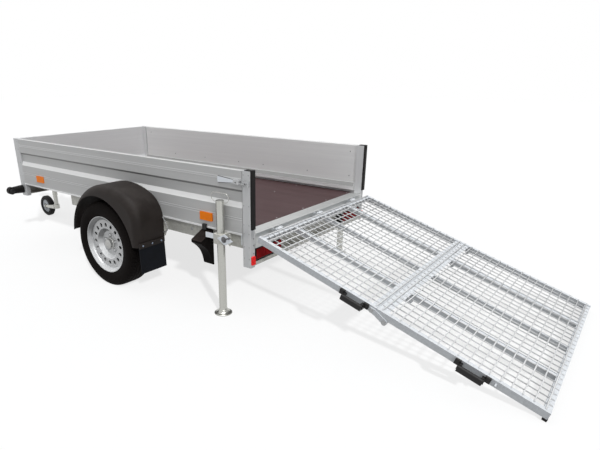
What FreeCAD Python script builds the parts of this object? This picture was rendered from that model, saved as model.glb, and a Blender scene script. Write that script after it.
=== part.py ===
import FreeCAD, Part
import math
import os

# Single-axle utility trailer: a flat bed with low walls, and a two-part mesh ramp let down behind it.
# +X is towards the tow coupling, +Y is the near side, +Z is up, and the tyres stand on z = 0.
# Every piece is worked out from the axle line. On writing it is moved along X, so that the
# origin ends up under the middle of the whole trailer.

V = FreeCAD.Vector

# Load bed
bed_inner_length = 2495.0
bed_inner_width = 1310.0
wall_thickness = 26.0
wall_height = 369.0
floor_thickness = 15.0
floor_top_z = 531.0
axle_to_rear_posts = 1118.0
panel_gap = 0.3

# Wall section, measured down from the top edge
wall_top_radius = 4.0
recess_top = 109.0
recess_top_slope = 15.0
recess_height = 58.0
recess_bottom_slope = 31.0
recess_depth = 14.0
bead_drops = (47.0, 59.0, 269.0, 281.0)
bead_width = 4.0
bead_depth = 1.5
ledge_drop = 278.0
ledge_depth = 14.0
ledge_top_slope = 27.0
ledge_height = 29.0
ledge_bottom_slope = 11.0

# Posts
post_depth = 36.0
post_wall = 3.0
front_post_width = 75.0
rear_post_width = 60.0
post_edge_radius = 6.0
front_post_below_wall = 103.0
rear_post_below_wall = 191.0
seal_thickness = 10.0
seal_rise = 25.0
seal_width = 33.0
seal_setback = 1.0
seal_cap_length = 42.0
seal_cap_thickness = 4.0

# Sill under the rear edge of the floor
sill_width = 83.0
sill_height = 90.0
sill_overhang = 5.0
sill_edge_radius = 4.0
sill_groove_setback = 14.0
sill_groove_width = 3.0
sill_groove_depth = 1.0
sheet = 3.0

# Frame under the floor
member_height = 90.0
member_flange = 45.0
member_lip = 12.0
member_setback = 26.0
member_sheet = 3.0
member_front_setback = 703.0
cross_flange = 40.0
cross_height = 30.0
cross_count = 5
cross_rear_setback = 318.0
cross_front_setback = 283.0
front_member_setback = 4.0
carrier_gap = 1.0
carrier_rise = 8.0
carrier_setback = 2.0
carrier_depth = 50.0
carrier_lip = 22.0

# Wheels
tyre_radius = 296.0
tyre_width = 185.0
tyre_side_gap = 21.5
tyre_crown_width = 124.0
tyre_shoulder_drop = 12.0
tyre_shoulder_width = 164.0
tyre_wall_drop = 46.0
rim_seat_radius = 178.0
rim_flange_radius = 195.0
rim_flange_edge = 4.5
rim_flange_lip = 3.5
rim_width = 156.0
rim_bead_seat = 16.0
rim_wall = 5.0
rim_drop = 20.0
rim_drop_front = 22.0
rim_drop_rear = -12.0
disc_ring_outer = 156.0
disc_ring_inner = 108.0
disc_ring_y = 57.0
disc_edge_y = 44.0
disc_hub_radius = 86.0
hub_face_offset = 30.0
hub_bore_radius = 34.0
rim_hole_count = 16
rim_hole_circle = 134.0
rim_hole_radius = 11.5
rim_hole_stretch = 6.0
drum_radius = 118.0
drum_width = 55.0
drum_edge = 8.0
drum_gap = 4.0
spindle_radius = 17.5
spindle_length = 60.0
hub_cap_radius = 33.0
hub_cap_length = 42.0
hub_cap_edge = 10.0
hub_cap_flat = 17.0

# Axle
backplate_radius = 122.0
backplate_thickness = 6.0
beam_size = 80.0
beam_forward = 140.0
beam_setback = 91.0
beam_bracket_width = 120.0
beam_bracket_setback = 30.0
beam_bracket_thickness = 8.0
beam_flange_thickness = 6.0
arm_thickness = 26.0
arm_root_radius = 42.0
arm_hub_radius = 34.0
stub_radius = 22.0

# Mudguards: three tangent arcs and an upright leg behind
guard_clearance = 117.5
guard_top_x = -66.0
guard_front_radius = 417.5
guard_crown_radius = 551.0
guard_crown_reach = 226.0
guard_rear_radius = 176.4
guard_front_z = 345.0
guard_rear_z = 352.0
guard_inner_gap = 7.0
guard_outer_gap = 17.5
guard_wall = 3.5
guard_shoulder = 55.0
guard_wheel_gap = 42.0
guard_lip = 17.0
bracket_height = 48.0
bracket_reach = 60.0
bracket_thickness = 5.0
bracket_rise = 6.0
bracket_leg_z = 412.0
bracket_crank = 12.0
bracket_side_gap = 4.0
flap_height = 191.0
flap_overlap = 26.0
flap_thickness = 4.0
flap_lean = 6.0
flap_inner_setback = 8.0
flap_outer_setback = 2.0

# Drawbar, overrun device and coupling
bar_height = 60.0
bar_width = 40.0
bar_wall = 3.0
bar_rear_x = 60.0
bar_rear_setback = 155.0
bar_front_reach = 447.0
bar_front_y = 30.0
bar_end_room = 60.0
overrun_reach = 237.0
overrun_length = 560.0
overrun_housing_length = 448.0
overrun_width = 92.0
overrun_height = 86.0
overrun_wall = 5.0
overrun_end_plate = 8.0
overrun_tube_radius = 36.0
overrun_collar_radius = 42.0
overrun_edge_radius = 8.0
coupling_z = 418.0
slide_tube_radius = 25.0
slide_neck_radius = 28.0
slide_neck_length = 60.0
bellows_length = 120.0
bellows_radius = 40.0
bellows_fold_depth = 10.0
bellows_folds = 5
bellows_bore_gap = 0.4
coupling_length = 190.0
coupling_width = 86.0
coupling_below = 30.0
coupling_above = 34.0
coupling_body_start = 50.0
coupling_body_rear_width = 68.0
coupling_body_inset = 2.0
coupling_lever_width = 28.0
coupling_lever_thickness = 12.0
coupling_lever_rise = 34.0
coupling_lever_foot = 34.0
coupling_lever_overhang = 14.0
coupling_lever_grip = 24.0
ball_radius = 25.0
brake_rod_radius = 4.0
brake_rod_drop = 18.0
brake_yoke_width = 60.0
brake_yoke_thickness = 8.0
brake_yoke_rise = 46.0
handbrake_foot_reach = 330.0
handbrake_foot_rise = 10.0
handbrake_foot_radius = 24.0
handbrake_tip_reach = 200.0
handbrake_thickness = 10.0
handbrake_foot_width = 30.0
handbrake_tip_width = 22.0
handbrake_grip_radius = 13.0
handbrake_grip_length = 120.0
handbrake_grip_overlap = 20.0

# Jockey wheel
jockey_reach = 512.0
jockey_y = 101.0
jockey_tube_radius = 24.0
jockey_tube_wall = 3.0
jockey_tube_bottom_z = 235.0
jockey_tube_top_z = 640.0
jockey_lid_height = 8.0
jockey_leg_radius = 20.5
jockey_leg_bottom_z = 128.0
jockey_leg_room = 12.0
jockey_leg_above_coupling = 60.0
jockey_wheel_radius = 102.0
jockey_wheel_width = 50.0
jockey_wheel_edge = 9.0
jockey_dish_inner = 26.0
jockey_dish_outer = 64.0
jockey_dish_depth = 12.0
jockey_dish_slope = 3.0
jockey_trail = 170.0
jockey_axle_radius = 7.0
jockey_axle_overhang = 10.0
jockey_fork_gap = 3.0
jockey_fork_wall = 4.0
jockey_fork_height = 36.0
jockey_fork_eye = 13.0
jockey_fork_drop = 30.0
jockey_crown_margin = 8.0
jockey_bridge_start = 5.0
jockey_bridge_end = 40.0
crank_reach = 120.0
crank_width = 16.0
crank_thickness = 8.0
crank_rise = 20.0
crank_spindle_radius = 8.0
crank_knob_radius = 11.0
crank_knob_length = 64.0
clamp_height = 60.0
clamp_ring_wall = 7.0
clamp_bore_gap = 0.1
clamp_web_width = 44.0
clamp_overlap = 2.0
clamp_screw_radius = 8.0
clamp_screw_length = 30.0
clamp_handle_length = 90.0
clamp_handle_radius = 6.0
slide_gap = 0.5

# Prop legs at the rear
prop_setback = 195.0
prop_side_gap = 35.0
prop_tube_radius = 24.0
prop_tube_wall = 3.0
prop_lid = 4.0
prop_top_z = 707.0
prop_foot_radius = 55.0
prop_foot_edge = 6.0
prop_foot_plate = 8.0
prop_flare_height = 44.0
prop_flare_belly = 14.0
prop_ring_drop = 11.0
prop_ring_height = 54.0
prop_ring_width = 132.0
prop_ring_wire = 2.0
prop_clamp_below_wall = 34.0
prop_clamp_height = 60.0
prop_clamp_margin = 10.0
prop_clamp_edge = 9.0
prop_plate_reach = 68.0
prop_plate_height = 64.0
prop_plate_thickness = 5.0
prop_plate_setback = 12.0
prop_screw_length = 34.0
prop_screw_radius = 7.0
prop_lever_length = 70.0
prop_lever_radius = 5.0

# Ramp, measured along its slope from the hinge and down from its walking surface
ramp_side_setback = 14.5
ramp_inner_length = 785.0
ramp_outer_length = 852.0
ramp_rail_depth = 40.0
ramp_rail_width = 25.0
ramp_tube_wall = 2.5
ramp_end_bar = 30.0
ramp_middle_bar_width = 20.0
ramp_channel_width = 34.0
ramp_channel_wall = 4.0
ramp_bar_count = 3
ramp_fold_gap = 1.5
ramp_start = 14.0
mesh_pitch = 50.0
mesh_wire = 5.0
mesh_side_margin = 6.0
mesh_end_margin = 4.0
hinge_pin_drop = 14.0
hinge_pin_radius = 5.0
hinge_side_setback = 211.5
hinge_knuckle_half = 22.0
hinge_knuckle_radius = 10.5
hinge_ear_radius = 11.0
hinge_ear_thickness = 8.0
hinge_ear_gap = 2.0
hinge_ear_above = 8.0
hinge_ear_below = 30.0
hinge_pin_overhang = 2.0
hinge_pad_half = 35.0
hinge_pad_thickness = 1.5
hinge_strap_top = 4.0
hinge_strap_bottom = 22.0
pin_clearance = 0.3
fold_clearance = 10.0
fold_pivot_reach = 64.0
fold_arm_thickness = 6.0
fold_arm_start = 34.0
fold_lobe_radius = 14.0
fold_lug_radius = 13.0
fold_lug_width = 18.0
fold_pin_radius = 6.0
fold_pin_overhang = 4.0
support_rear = 28.0
support_front = 44.0
support_seat_gap = 1.0
support_thickness = 3.0
support_arm_start = 12.0
support_arm_depth = 8.0
closed_gap = 5.0
foot_cap_length = 18.0
foot_cap_overhang = 3.0
ramp_foot_depth = 13.0
side_pin_radius = 5.0
side_pin_length = 25.0
side_pin_drop = 20.0

# Pull handles on the near rail
handle_half = 85.0
handle_foot_width = 28.0
handle_foot_reach = 14.0
handle_top = 5.0
handle_foot_bottom = 33.0
handle_arm_half = 64.0
handle_arm_width = 18.0
handle_arm_top = 16.0
handle_arm_bottom = 45.0
handle_grip_half = 60.0
handle_grip_top = 18.0
handle_bottom = 51.0
handle_out_near = 18.0
handle_out_far = 40.0
handle_edge_radius = 8.0
handle_inner_setback = 122.5
handle_outer_setback = 341.0

# Lamps, reflectors and latches
tail_lamp_setback = 45.0
tail_lamp_width = 264.0
tail_lamp_height = 82.0
tail_lamp_depth = 46.0
tail_lamp_rise = 24.0
tail_lamp_radius = 8.0
tail_lens_margin = 8.0
tail_lens_depth = 6.0
reflector_width = 100.0
reflector_height = 50.0
reflector_thickness = 8.0
reflector_radius = 4.0
reflector_rise = 42.0
reflector_front_setback = 336.0
reflector_rear_setback = 338.0
position_lamp_setback = 17.0
position_lamp_drop = 50.0
position_arm_length = 100.0
position_arm_root = 34.0
position_arm_tip = 27.0
position_head_radius = 30.0
position_head_length = 40.0
rear_reflector_thickness = 9.0
rear_reflector_width = 32.0
rear_reflector_height = 50.0
rear_reflector_rise = 20.0
latch_drop = 65.0
latch_start = 2.0
latch_plate_length = 233.0
latch_plate_height = 34.0
latch_plate_thickness = 3.0
latch_plate_radius = 8.0
latch_lever_thickness = 2.2
latch_lever_rear = 78.0
latch_lever_tip_height = 14.0
latch_lever_root_height = 30.0
latch_block_start = 66.0
latch_block_length = 40.0
latch_block_height = 26.0
latch_block_thickness = 16.0
latch_hook_drop = 74.0
latch_hook_radius = 4.0
latch_hook_setback = 6.0
latch_hook_height = 26.0

# Wheel chocks and lashing points
chock_setback = 353.0
chock_width = 84.0
chock_top_gap = 16.0
chock_outer_drop = 66.0
chock_lip_drop = 84.0
chock_bottom_drop = 243.0
chock_reach = 110.0
chock_tip = 10.0
chock_belly_y = 35.0
chock_belly_drop = 140.0
holder_width = 102.0
holder_rise = 26.0
holder_thickness = 3.0
tie_front_setback = 291.0
tie_spacing = 821.0
tie_rear_setback = 258.0
tie_plate_length = 46.0
tie_plate_height = 20.0
tie_plate_thickness = 3.0
tie_ring_radius = 12.0
tie_ring_bore = 8.5
tie_ring_thickness = 3.0

# Places that follow from the sizes above
body_half = bed_inner_width / 2 + wall_thickness
rear_x = -axle_to_rear_posts
front_x = rear_x + bed_inner_length + wall_thickness
wall_bottom_z = floor_top_z - floor_thickness
wall_top_z = wall_bottom_z + wall_height
wall_rear_x = rear_x + rear_post_width
wall_front_x = front_x - front_post_width
front_post_bottom_z = wall_bottom_z - front_post_below_wall
rear_post_bottom_z = wall_bottom_z - rear_post_below_wall
post_inner_y = body_half - post_depth
ledge_y = body_half - wall_thickness - ledge_depth
sill_rear_x = rear_x - sill_overhang
sill_front_x = sill_rear_x + sill_width
member_y = body_half - member_setback
member_low_z = wall_bottom_z - member_height
carrier_low_z = rear_post_bottom_z + carrier_rise
carrier_rear_x = rear_x + carrier_setback
track = 2 * (body_half + tyre_side_gap) + tyre_width
beam_half = body_half - beam_setback
beam_z = member_low_z - bar_height - beam_size / 2
guard_top_z = 2 * tyre_radius + guard_clearance
guard_inner_y = body_half + guard_inner_gap
guard_outer_y = track / 2 + tyre_width / 2 + guard_outer_gap
guard_opening_radius = tyre_radius + guard_wheel_gap
guard_front_centre_z = guard_top_z - guard_front_radius
guard_crown_centre_z = guard_top_z - guard_crown_radius
guard_crown_turn = math.asin(guard_crown_reach / guard_crown_radius)
guard_step = guard_crown_radius - guard_rear_radius
guard_rear_centre_x = guard_top_x - guard_step * math.sin(guard_crown_turn)
guard_rear_centre_z = guard_crown_centre_z + guard_step * math.cos(guard_crown_turn)
guard_rear_x = guard_rear_centre_x - guard_rear_radius
overrun_rear_x = front_x + overrun_reach
overrun_front_x = overrun_rear_x + overrun_length
coupling_rear_x = overrun_front_x + bellows_length
coupling_front_x = coupling_rear_x + coupling_length
bar_rear_y = member_y - bar_rear_setback
bar_front_x = front_x + bar_front_reach
jockey_x = front_x + jockey_reach
jockey_axle_x = jockey_x + jockey_trail
prop_x = rear_x + prop_setback
prop_y = body_half + prop_side_gap
prop_clamp_z = wall_bottom_z - prop_clamp_below_wall
prop_ring_low_z = prop_top_z - prop_ring_drop
prop_ring_top_z = prop_ring_low_z + prop_ring_height
ramp_width = 2 * (body_half - ramp_side_setback)
ramp_rail_y = ramp_width / 2 - ramp_rail_width
hinge_places = (-(ramp_width / 2 - hinge_side_setback), 0.0, ramp_width / 2 - hinge_side_setback)
pivot_x = rear_x - seal_thickness - closed_gap - hinge_pin_drop
fold_pivot_drop = ramp_rail_depth + fold_clearance
fold_pivot_s = ramp_inner_length + fold_pivot_reach
ramp_outer_start = ramp_inner_length + ramp_fold_gap
ramp_end_s = ramp_inner_length + ramp_outer_length
ramp_foot_drop = ramp_rail_depth + ramp_foot_depth
ramp_foot_s = ramp_end_s + foot_cap_overhang
ramp_foot_reach = math.hypot(ramp_foot_s, ramp_foot_drop)
slope = math.asin(floor_top_z / ramp_foot_reach) - math.atan2(ramp_foot_drop, ramp_foot_s)
ramp_x = pivot_x - hinge_pin_drop * math.sin(slope)
hinge_pin_z = floor_top_z - hinge_pin_drop * math.cos(slope)
side_pin_s = 2 * fold_pivot_s - (wall_top_z - latch_hook_drop - hinge_pin_z)
ramp_tip_x = ramp_x - ramp_end_s * math.cos(slope)
origin_x = (coupling_front_x + ramp_tip_x) / 2


def box(x0, x1, y0, y1, z0, z1):
    """Box between two corners."""
    return Part.makeBox(x1 - x0, y1 - y0, z1 - z0, V(x0, y0, z0))


def rod(start, end, radius):
    """Round bar from one point to another."""
    along = end.sub(start)
    return Part.makeCylinder(radius, along.Length, start, along)


def tube(start, end, outer, inner):
    """Round tube from one point to another."""
    return rod(start, end, outer).cut(rod(start, end, inner))


def fuse(shapes):
    """One solid from several that touch."""
    joined = shapes[0]
    for other in shapes[1:]:
        joined = joined.fuse(other)
    return joined.removeSplitter()


def section_xz(points, y0, y1):
    """Outline in the XZ plane, carried from y0 to y1."""
    wire = Part.makePolygon([V(x, y0, z) for x, z in points + points[:1]])
    return Part.Face(wire).extrude(V(0, y1 - y0, 0))


def section_yz(points, x0, x1):
    """Outline in the YZ plane, carried from x0 to x1."""
    wire = Part.makePolygon([V(x0, y, z) for y, z in points + points[:1]])
    return Part.Face(wire).extrude(V(x1 - x0, 0, 0))


def section_xy(points, z0, z1):
    """Outline in the XY plane, carried from z0 to z1."""
    wire = Part.makePolygon([V(x, y, z0) for x, y in points + points[:1]])
    return Part.Face(wire).extrude(V(0, 0, z1 - z0))


def revolve_y(points, centre):
    """Ring from a section given as radius and distance along Y, turned about the wheel axis."""
    wire = Part.makePolygon([V(centre.x, centre.y + y, centre.z + r) for r, y in points + points[:1]])
    return Part.Face(wire).revolve(centre, V(0, 1, 0), 360)


def edges_along(shape, axis):
    """Straight edges of a shape that run along an axis."""
    found = []
    for edge in shape.Edges:
        if isinstance(edge.Curve, Part.Line) and abs(edge.Curve.Direction.dot(axis)) > 0.999:
            found.append(edge)
    return found


def mirrored(shape):
    """The same piece on the far side."""
    return shape.mirror(V(0, 0, 0), V(0, 1, 0))


def pair(shape):
    """A piece and its mirror image."""
    return [shape, mirrored(shape)]


def write(name, shapes):
    """Write one node, with its solids moved so that the origin is under the middle."""
    shape = shapes if isinstance(shapes, Part.Shape) else Part.makeCompound(shapes)
    shape = shape.copy()
    shape.translate(V(-origin_x, 0, 0))
    shape.exportStep("parts/" + name + ".step")


def bead_points(drops):
    """Shallow grooves pressed into the wall's face at the given drops."""
    points = []
    for drop in drops:
        points += [(0.0, drop - bead_width / 2), (bead_depth, drop), (0.0, drop + bead_width / 2)]
    return points


def wall_points():
    """Section of the wall as pairs of distance in from the outer face and drop from the top."""
    recess_low = recess_top + recess_top_slope + recess_height
    recess = [
        (0.0, recess_top),
        (recess_depth, recess_top + recess_top_slope),
        (recess_depth, recess_low),
        (0.0, recess_low + recess_bottom_slope),
    ]
    upper = [drop for drop in bead_drops if drop < recess_top]
    lower = [drop for drop in bead_drops if drop > recess_low]
    ledge_low = ledge_drop + ledge_top_slope + ledge_height
    ledge = [
        (wall_thickness, ledge_low + ledge_bottom_slope),
        (wall_thickness + ledge_depth, ledge_low),
        (wall_thickness + ledge_depth, ledge_drop + ledge_top_slope),
        (wall_thickness, ledge_drop),
    ]
    outside = [(0.0, 0.0)] + bead_points(upper) + recess + bead_points(lower) + [(0.0, wall_height)]
    return outside + [(wall_thickness, wall_height)] + ledge + [(wall_thickness, 0.0)]


def round_top(wall, axis):
    """Wall with both long edges of its top rounded."""
    edges = [e for e in edges_along(wall, axis) if e.CenterOfMass.z > wall_top_z - 0.001]
    long = [e for e in edges if e.Length > wall_thickness]
    return wall.makeFillet(wall_top_radius, long)


def side_wall():
    """Extruded side board between the posts: a long recess outside, a ledge above the floor inside."""
    points = [(body_half - inward, wall_top_z - drop) for inward, drop in wall_points()]
    wall = section_yz(points, wall_rear_x + panel_gap, wall_front_x - panel_gap)
    return round_top(wall, V(1, 0, 0))


def front_wall():
    """Front board between the front posts."""
    points = [(front_x - inward, wall_top_z - drop) for inward, drop in wall_points()]
    half = post_inner_y - panel_gap
    return round_top(section_xz(points, -half, half), V(0, 1, 0))


def post(x0, x1, z0):
    """Hollow corner post with rounded outer edges, open below."""
    body = box(x0, x1, post_inner_y, body_half, z0, wall_top_z)
    edges = [e for e in edges_along(body, V(0, 0, 1)) if e.CenterOfMass.y > post_inner_y + post_wall]
    body = body.makeFillet(post_edge_radius, edges)
    inside = box(x0 + post_wall, x1 - post_wall, post_inner_y + post_wall, body_half - post_wall,
                 z0, wall_top_z - post_wall)
    return body.cut(inside)


def post_seal():
    """Rubber strip down the rear face of the rear post, with a cap that folds over the post's top."""
    y0 = body_half - seal_width
    y1 = body_half - seal_setback
    strip = box(rear_x - seal_thickness, rear_x, y0, y1, floor_top_z + seal_rise,
                wall_top_z + seal_cap_thickness)
    cap = box(rear_x - seal_thickness, rear_x + seal_cap_length, y0, y1, wall_top_z,
              wall_top_z + seal_cap_thickness)
    return fuse([strip, cap])


def rear_sill():
    """Bent sheet sill: top plate with a groove, rounded rear edge, rear web and lower flange."""
    half = post_inner_y - panel_gap
    low = floor_top_z - sill_height
    plate = box(sill_rear_x, sill_front_x, -half, half, floor_top_z - sheet, floor_top_z)
    web = box(sill_rear_x, sill_rear_x + sheet, -half, half, low, floor_top_z)
    foot = box(sill_rear_x, sill_rear_x + member_flange, -half, half, low, low + sheet)
    sill = fuse([plate, web, foot])
    rear = [e for e in edges_along(sill, V(0, 1, 0)) if e.CenterOfMass.x < sill_rear_x + 0.001]
    top = [e for e in rear if e.CenterOfMass.z > floor_top_z - 0.001]
    sill = sill.makeFillet(sill_edge_radius, top)
    groove_x = sill_rear_x + sill_groove_setback
    groove = box(groove_x, groove_x + sill_groove_width, -half, half, floor_top_z - sill_groove_depth,
                 floor_top_z)
    return sill.cut(groove)


def floor_panel():
    """Plywood floor between the walls, from the front wall to the sill."""
    half = bed_inner_width / 2 - panel_gap
    high_x = front_x - wall_thickness - panel_gap
    panel = box(sill_front_x + panel_gap, high_x, -half, half, wall_bottom_z, floor_top_z)
    notch = box(wall_front_x - panel_gap, front_x, post_inner_y - panel_gap, body_half, wall_bottom_z,
                floor_top_z)
    return panel.cut(notch).cut(mirrored(notch))


def side_member():
    """Lipped channel under the wall, open towards the middle."""
    top = wall_bottom_z
    low = member_low_z
    x0 = wall_rear_x + panel_gap
    x1 = front_x - member_front_setback
    y0 = member_y - member_flange
    points = [
        (member_y, low), (member_y, top), (y0, top), (y0, top - member_lip),
        (y0 + member_sheet, top - member_lip), (y0 + member_sheet, top - member_sheet),
        (member_y - member_sheet, top - member_sheet),
        (member_y - member_sheet, low + member_sheet), (y0 + member_sheet, low + member_sheet),
        (y0 + member_sheet, low + member_lip), (y0, low + member_lip), (y0, low),
    ]
    return section_yz(points, x0, x1)


def channel_x(x0, x1, half, low, top, web_at_x0):
    """Channel across the frame from -half to half, with its web at one end of the section."""
    web_x = x0 if web_at_x0 else x1 - member_sheet
    web = box(web_x, web_x + member_sheet, -half, half, low, top)
    upper = box(x0, x1, -half, half, top - member_sheet, top)
    lower = box(x0, x1, -half, half, low, low + member_sheet)
    return fuse([web, upper, lower])


def cross_members():
    """Channels across the frame, set between the side members."""
    half = member_y - member_flange - panel_gap
    first = rear_x + cross_rear_setback
    last = front_x - cross_front_setback
    step = (last - first) / (cross_count - 1)
    members = []
    for index in range(cross_count):
        x = first + index * step
        members.append(channel_x(x, x + cross_flange, half, wall_bottom_z - cross_height, wall_bottom_z,
                                 True))
    return members


def front_cross_member():
    """Deep channel across the front of the frame, open to the rear."""
    return channel_x(wall_front_x + panel_gap, front_x - front_member_setback, post_inner_y - panel_gap,
                     member_low_z, wall_bottom_z, False)


def lamp_carrier():
    """Channel between the rear posts below the sill, open to the rear, that carries the lamps."""
    half = post_inner_y - panel_gap
    top = floor_top_z - sill_height - carrier_gap
    low = carrier_low_z
    x0 = carrier_rear_x
    x1 = x0 + carrier_depth
    web = box(x1 - sheet, x1, -half, half, low, top)
    lower = box(x0, x1, -half, half, low, low + sheet)
    lip = box(x0, x0 + sheet, -half, half, low, low + carrier_lip)
    return fuse([web, lower, lip])


def tail_lamp():
    """Lamp housing above the carrier's lip, with a raised lens, on the near side."""
    x1 = carrier_rear_x + carrier_depth - sheet
    x0 = x1 - tail_lamp_depth
    y1 = body_half - tail_lamp_setback
    y0 = y1 - tail_lamp_width
    low = carrier_low_z + tail_lamp_rise
    high = low + tail_lamp_height
    housing = box(x0 + tail_lens_depth, x1, y0, y1, low, high)
    housing = housing.makeFillet(tail_lamp_radius, edges_along(housing, V(1, 0, 0)))
    margin = tail_lens_margin
    lens = box(x0, x0 + tail_lens_depth, y0 + margin, y1 - margin, low + margin, high - margin)
    lens = lens.makeFillet(tail_lamp_radius / 2, edges_along(lens, V(1, 0, 0)))
    return fuse([housing, lens])


def tyre(centre):
    """Tyre with a flat crown, cut shoulders and full sidewalls."""
    seat = rim_width / 2 - rim_bead_seat
    side = [
        (rim_seat_radius, seat), (tyre_radius - tyre_wall_drop, tyre_width / 2),
        (tyre_radius - tyre_shoulder_drop, tyre_shoulder_width / 2), (tyre_radius, tyre_crown_width / 2),
    ]
    return revolve_y(side + [(r, -y) for r, y in reversed(side)], centre)


def rim(centre):
    """Pressed steel rim: barrel with a drop centre, and a disc with a ring of oval holes."""
    half = rim_width / 2
    seat = rim_seat_radius - panel_gap
    drop = seat - rim_drop
    lip = half + rim_flange_lip
    flange = rim_flange_radius
    bead = half - rim_bead_seat + panel_gap
    inner = half - rim_bead_seat + rim_wall
    barrel = [
        (flange, lip), (flange - rim_flange_edge, lip), (seat - rim_wall, inner),
        (drop - rim_wall, rim_drop_front), (drop - rim_wall, rim_drop_rear), (seat - rim_wall, -inner),
        (flange - rim_flange_edge, -lip), (flange, -lip),
        (seat, -bead), (drop, rim_drop_rear), (drop, rim_drop_front), (seat, bead),
    ]
    slope_share = (disc_ring_y - rim_drop_front) / (bead - rim_drop_front)
    weld = drop + rim_drop * slope_share - rim_wall / 2
    edge_share = (disc_edge_y - rim_drop_front) / (bead - rim_drop_front)
    edge = drop + rim_drop * edge_share - rim_wall / 2
    face = hub_face_offset
    disc = [
        (weld, disc_ring_y), (disc_ring_outer, disc_ring_y), (disc_ring_inner, disc_ring_y),
        (disc_hub_radius, face), (hub_bore_radius, face), (hub_bore_radius, face - rim_wall),
        (disc_hub_radius + rim_wall, face - rim_wall), (disc_ring_inner + rim_wall, disc_ring_y - rim_wall),
        (disc_ring_outer, disc_ring_y - rim_wall), (edge, disc_edge_y),
    ]
    wheel = revolve_y(barrel, centre).fuse(revolve_y(disc, centre))
    low = centre.add(V(0, disc_ring_y - 2 * rim_wall, rim_hole_circle - rim_hole_stretch / 2))
    high = low.add(V(0, 0, rim_hole_stretch))
    reach = V(0, 3 * rim_wall, 0)
    slot = fuse([
        rod(low, low.add(reach), rim_hole_radius), rod(high, high.add(reach), rim_hole_radius),
        box(low.x - rim_hole_radius, low.x + rim_hole_radius, low.y, low.y + reach.y, low.z, high.z),
    ])
    for index in range(rim_hole_count):
        cutter = slot.copy()
        cutter.rotate(centre, V(0, 1, 0), index * 360.0 / rim_hole_count)
        wheel = wheel.cut(cutter)
    return wheel


def brake_drum(centre):
    """Drum behind the rim's disc, with the hub nose and the dust cap through its middle."""
    face = hub_face_offset - rim_wall
    front = face - panel_gap
    nose = face + hub_cap_length
    back = face - drum_width
    bore = spindle_radius + panel_gap
    bore_end = back + spindle_length + drum_gap
    section = [
        (bore, back), (drum_radius, back), (drum_radius, face - drum_edge), (drum_radius - drum_edge, front),
        (hub_cap_radius, front), (hub_cap_radius, nose - hub_cap_edge), (hub_cap_flat, nose),
        (0.0, nose), (0.0, bore_end), (bore, bore_end),
    ]
    return revolve_y(section, centre)


def swing_arm():
    """Trailing arm from the beam's end to the stub axle, with the brake backplate and the spindle."""
    y0 = beam_half + panel_gap
    y1 = y0 + arm_thickness
    hub = V(0, y0, tyre_radius)
    root = V(beam_forward, y0, beam_z)
    wide = V(0, arm_thickness, 0)
    arm = rod(root, root.add(wide), arm_root_radius).fuse(rod(hub, hub.add(wide), arm_hub_radius))
    along = root.sub(hub)
    side = V(-along.z, 0, along.x).normalize()
    corners = [root.add(side * arm_root_radius), root.sub(side * arm_root_radius),
               hub.sub(side * arm_hub_radius), hub.add(side * arm_hub_radius)]
    arm = arm.fuse(section_xz([(p.x, p.z) for p in corners], y0, y1))
    drum_back = track / 2 + hub_face_offset - rim_wall - drum_width
    plate_y = drum_back - drum_gap
    plate_back = V(0, plate_y - backplate_thickness, tyre_radius)
    plate_front = V(0, plate_y, tyre_radius)
    stub = rod(hub, plate_front, stub_radius)
    plate = rod(plate_back, plate_front, backplate_radius)
    spindle = rod(plate_front, V(0, drum_back + spindle_length, tyre_radius), spindle_radius)
    return fuse([arm, stub, plate, spindle])


def axle_beam():
    """Square torsion beam with two brackets up to the side members."""
    size = beam_size / 2
    beam = box(beam_forward - size, beam_forward + size, -beam_half, beam_half, beam_z - size, beam_z + size)
    x0 = beam_forward - beam_bracket_width / 2
    x1 = beam_forward + beam_bracket_width / 2
    y0 = beam_half - beam_bracket_setback
    bracket = box(x0, x1, y0, y0 + beam_bracket_thickness, beam_z + size, member_low_z)
    flange = box(x0, x1, y0, member_y, member_low_z - beam_flange_thickness, member_low_z)
    return fuse([beam] + pair(bracket) + pair(flange))


def on_circle(x, z, radius, turn):
    """Point of an upright circle in the XZ plane, turned from its top towards the rear."""
    return V(x - radius * math.sin(turn), 0, z + radius * math.cos(turn))


def guard_outline(inset):
    """Mudguard seen from the side: front, crown and rear arcs that run into each other, and a rear leg."""
    front = guard_front_radius - inset
    crown = guard_crown_radius - inset
    rear = guard_rear_radius - inset
    low = guard_front_z - 4 * inset
    foot_turn = -math.acos((low - guard_front_centre_z) / front)
    leg_z = guard_rear_z - 4 * inset
    foot = on_circle(guard_top_x, guard_front_centre_z, front, foot_turn)
    front_mid = on_circle(guard_top_x, guard_front_centre_z, front, foot_turn / 2)
    top = on_circle(guard_top_x, guard_crown_centre_z, crown, 0.0)
    crown_mid = on_circle(guard_top_x, guard_crown_centre_z, crown, guard_crown_turn / 2)
    crown_end = on_circle(guard_top_x, guard_crown_centre_z, crown, guard_crown_turn)
    rear_turn = (guard_crown_turn + math.pi / 2) / 2
    rear_mid = on_circle(guard_rear_centre_x, guard_rear_centre_z, rear, rear_turn)
    rear_end = on_circle(guard_rear_centre_x, guard_rear_centre_z, rear, math.pi / 2)
    leg = V(rear_end.x, 0, leg_z)
    edges = [
        Part.Arc(foot, front_mid, top).toShape(),
        Part.Arc(top, crown_mid, crown_end).toShape(),
        Part.Arc(crown_end, rear_mid, rear_end).toShape(),
        Part.LineSegment(rear_end, leg).toShape(),
        Part.LineSegment(leg, foot).toShape(),
    ]
    return Part.Wire(edges)


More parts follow.
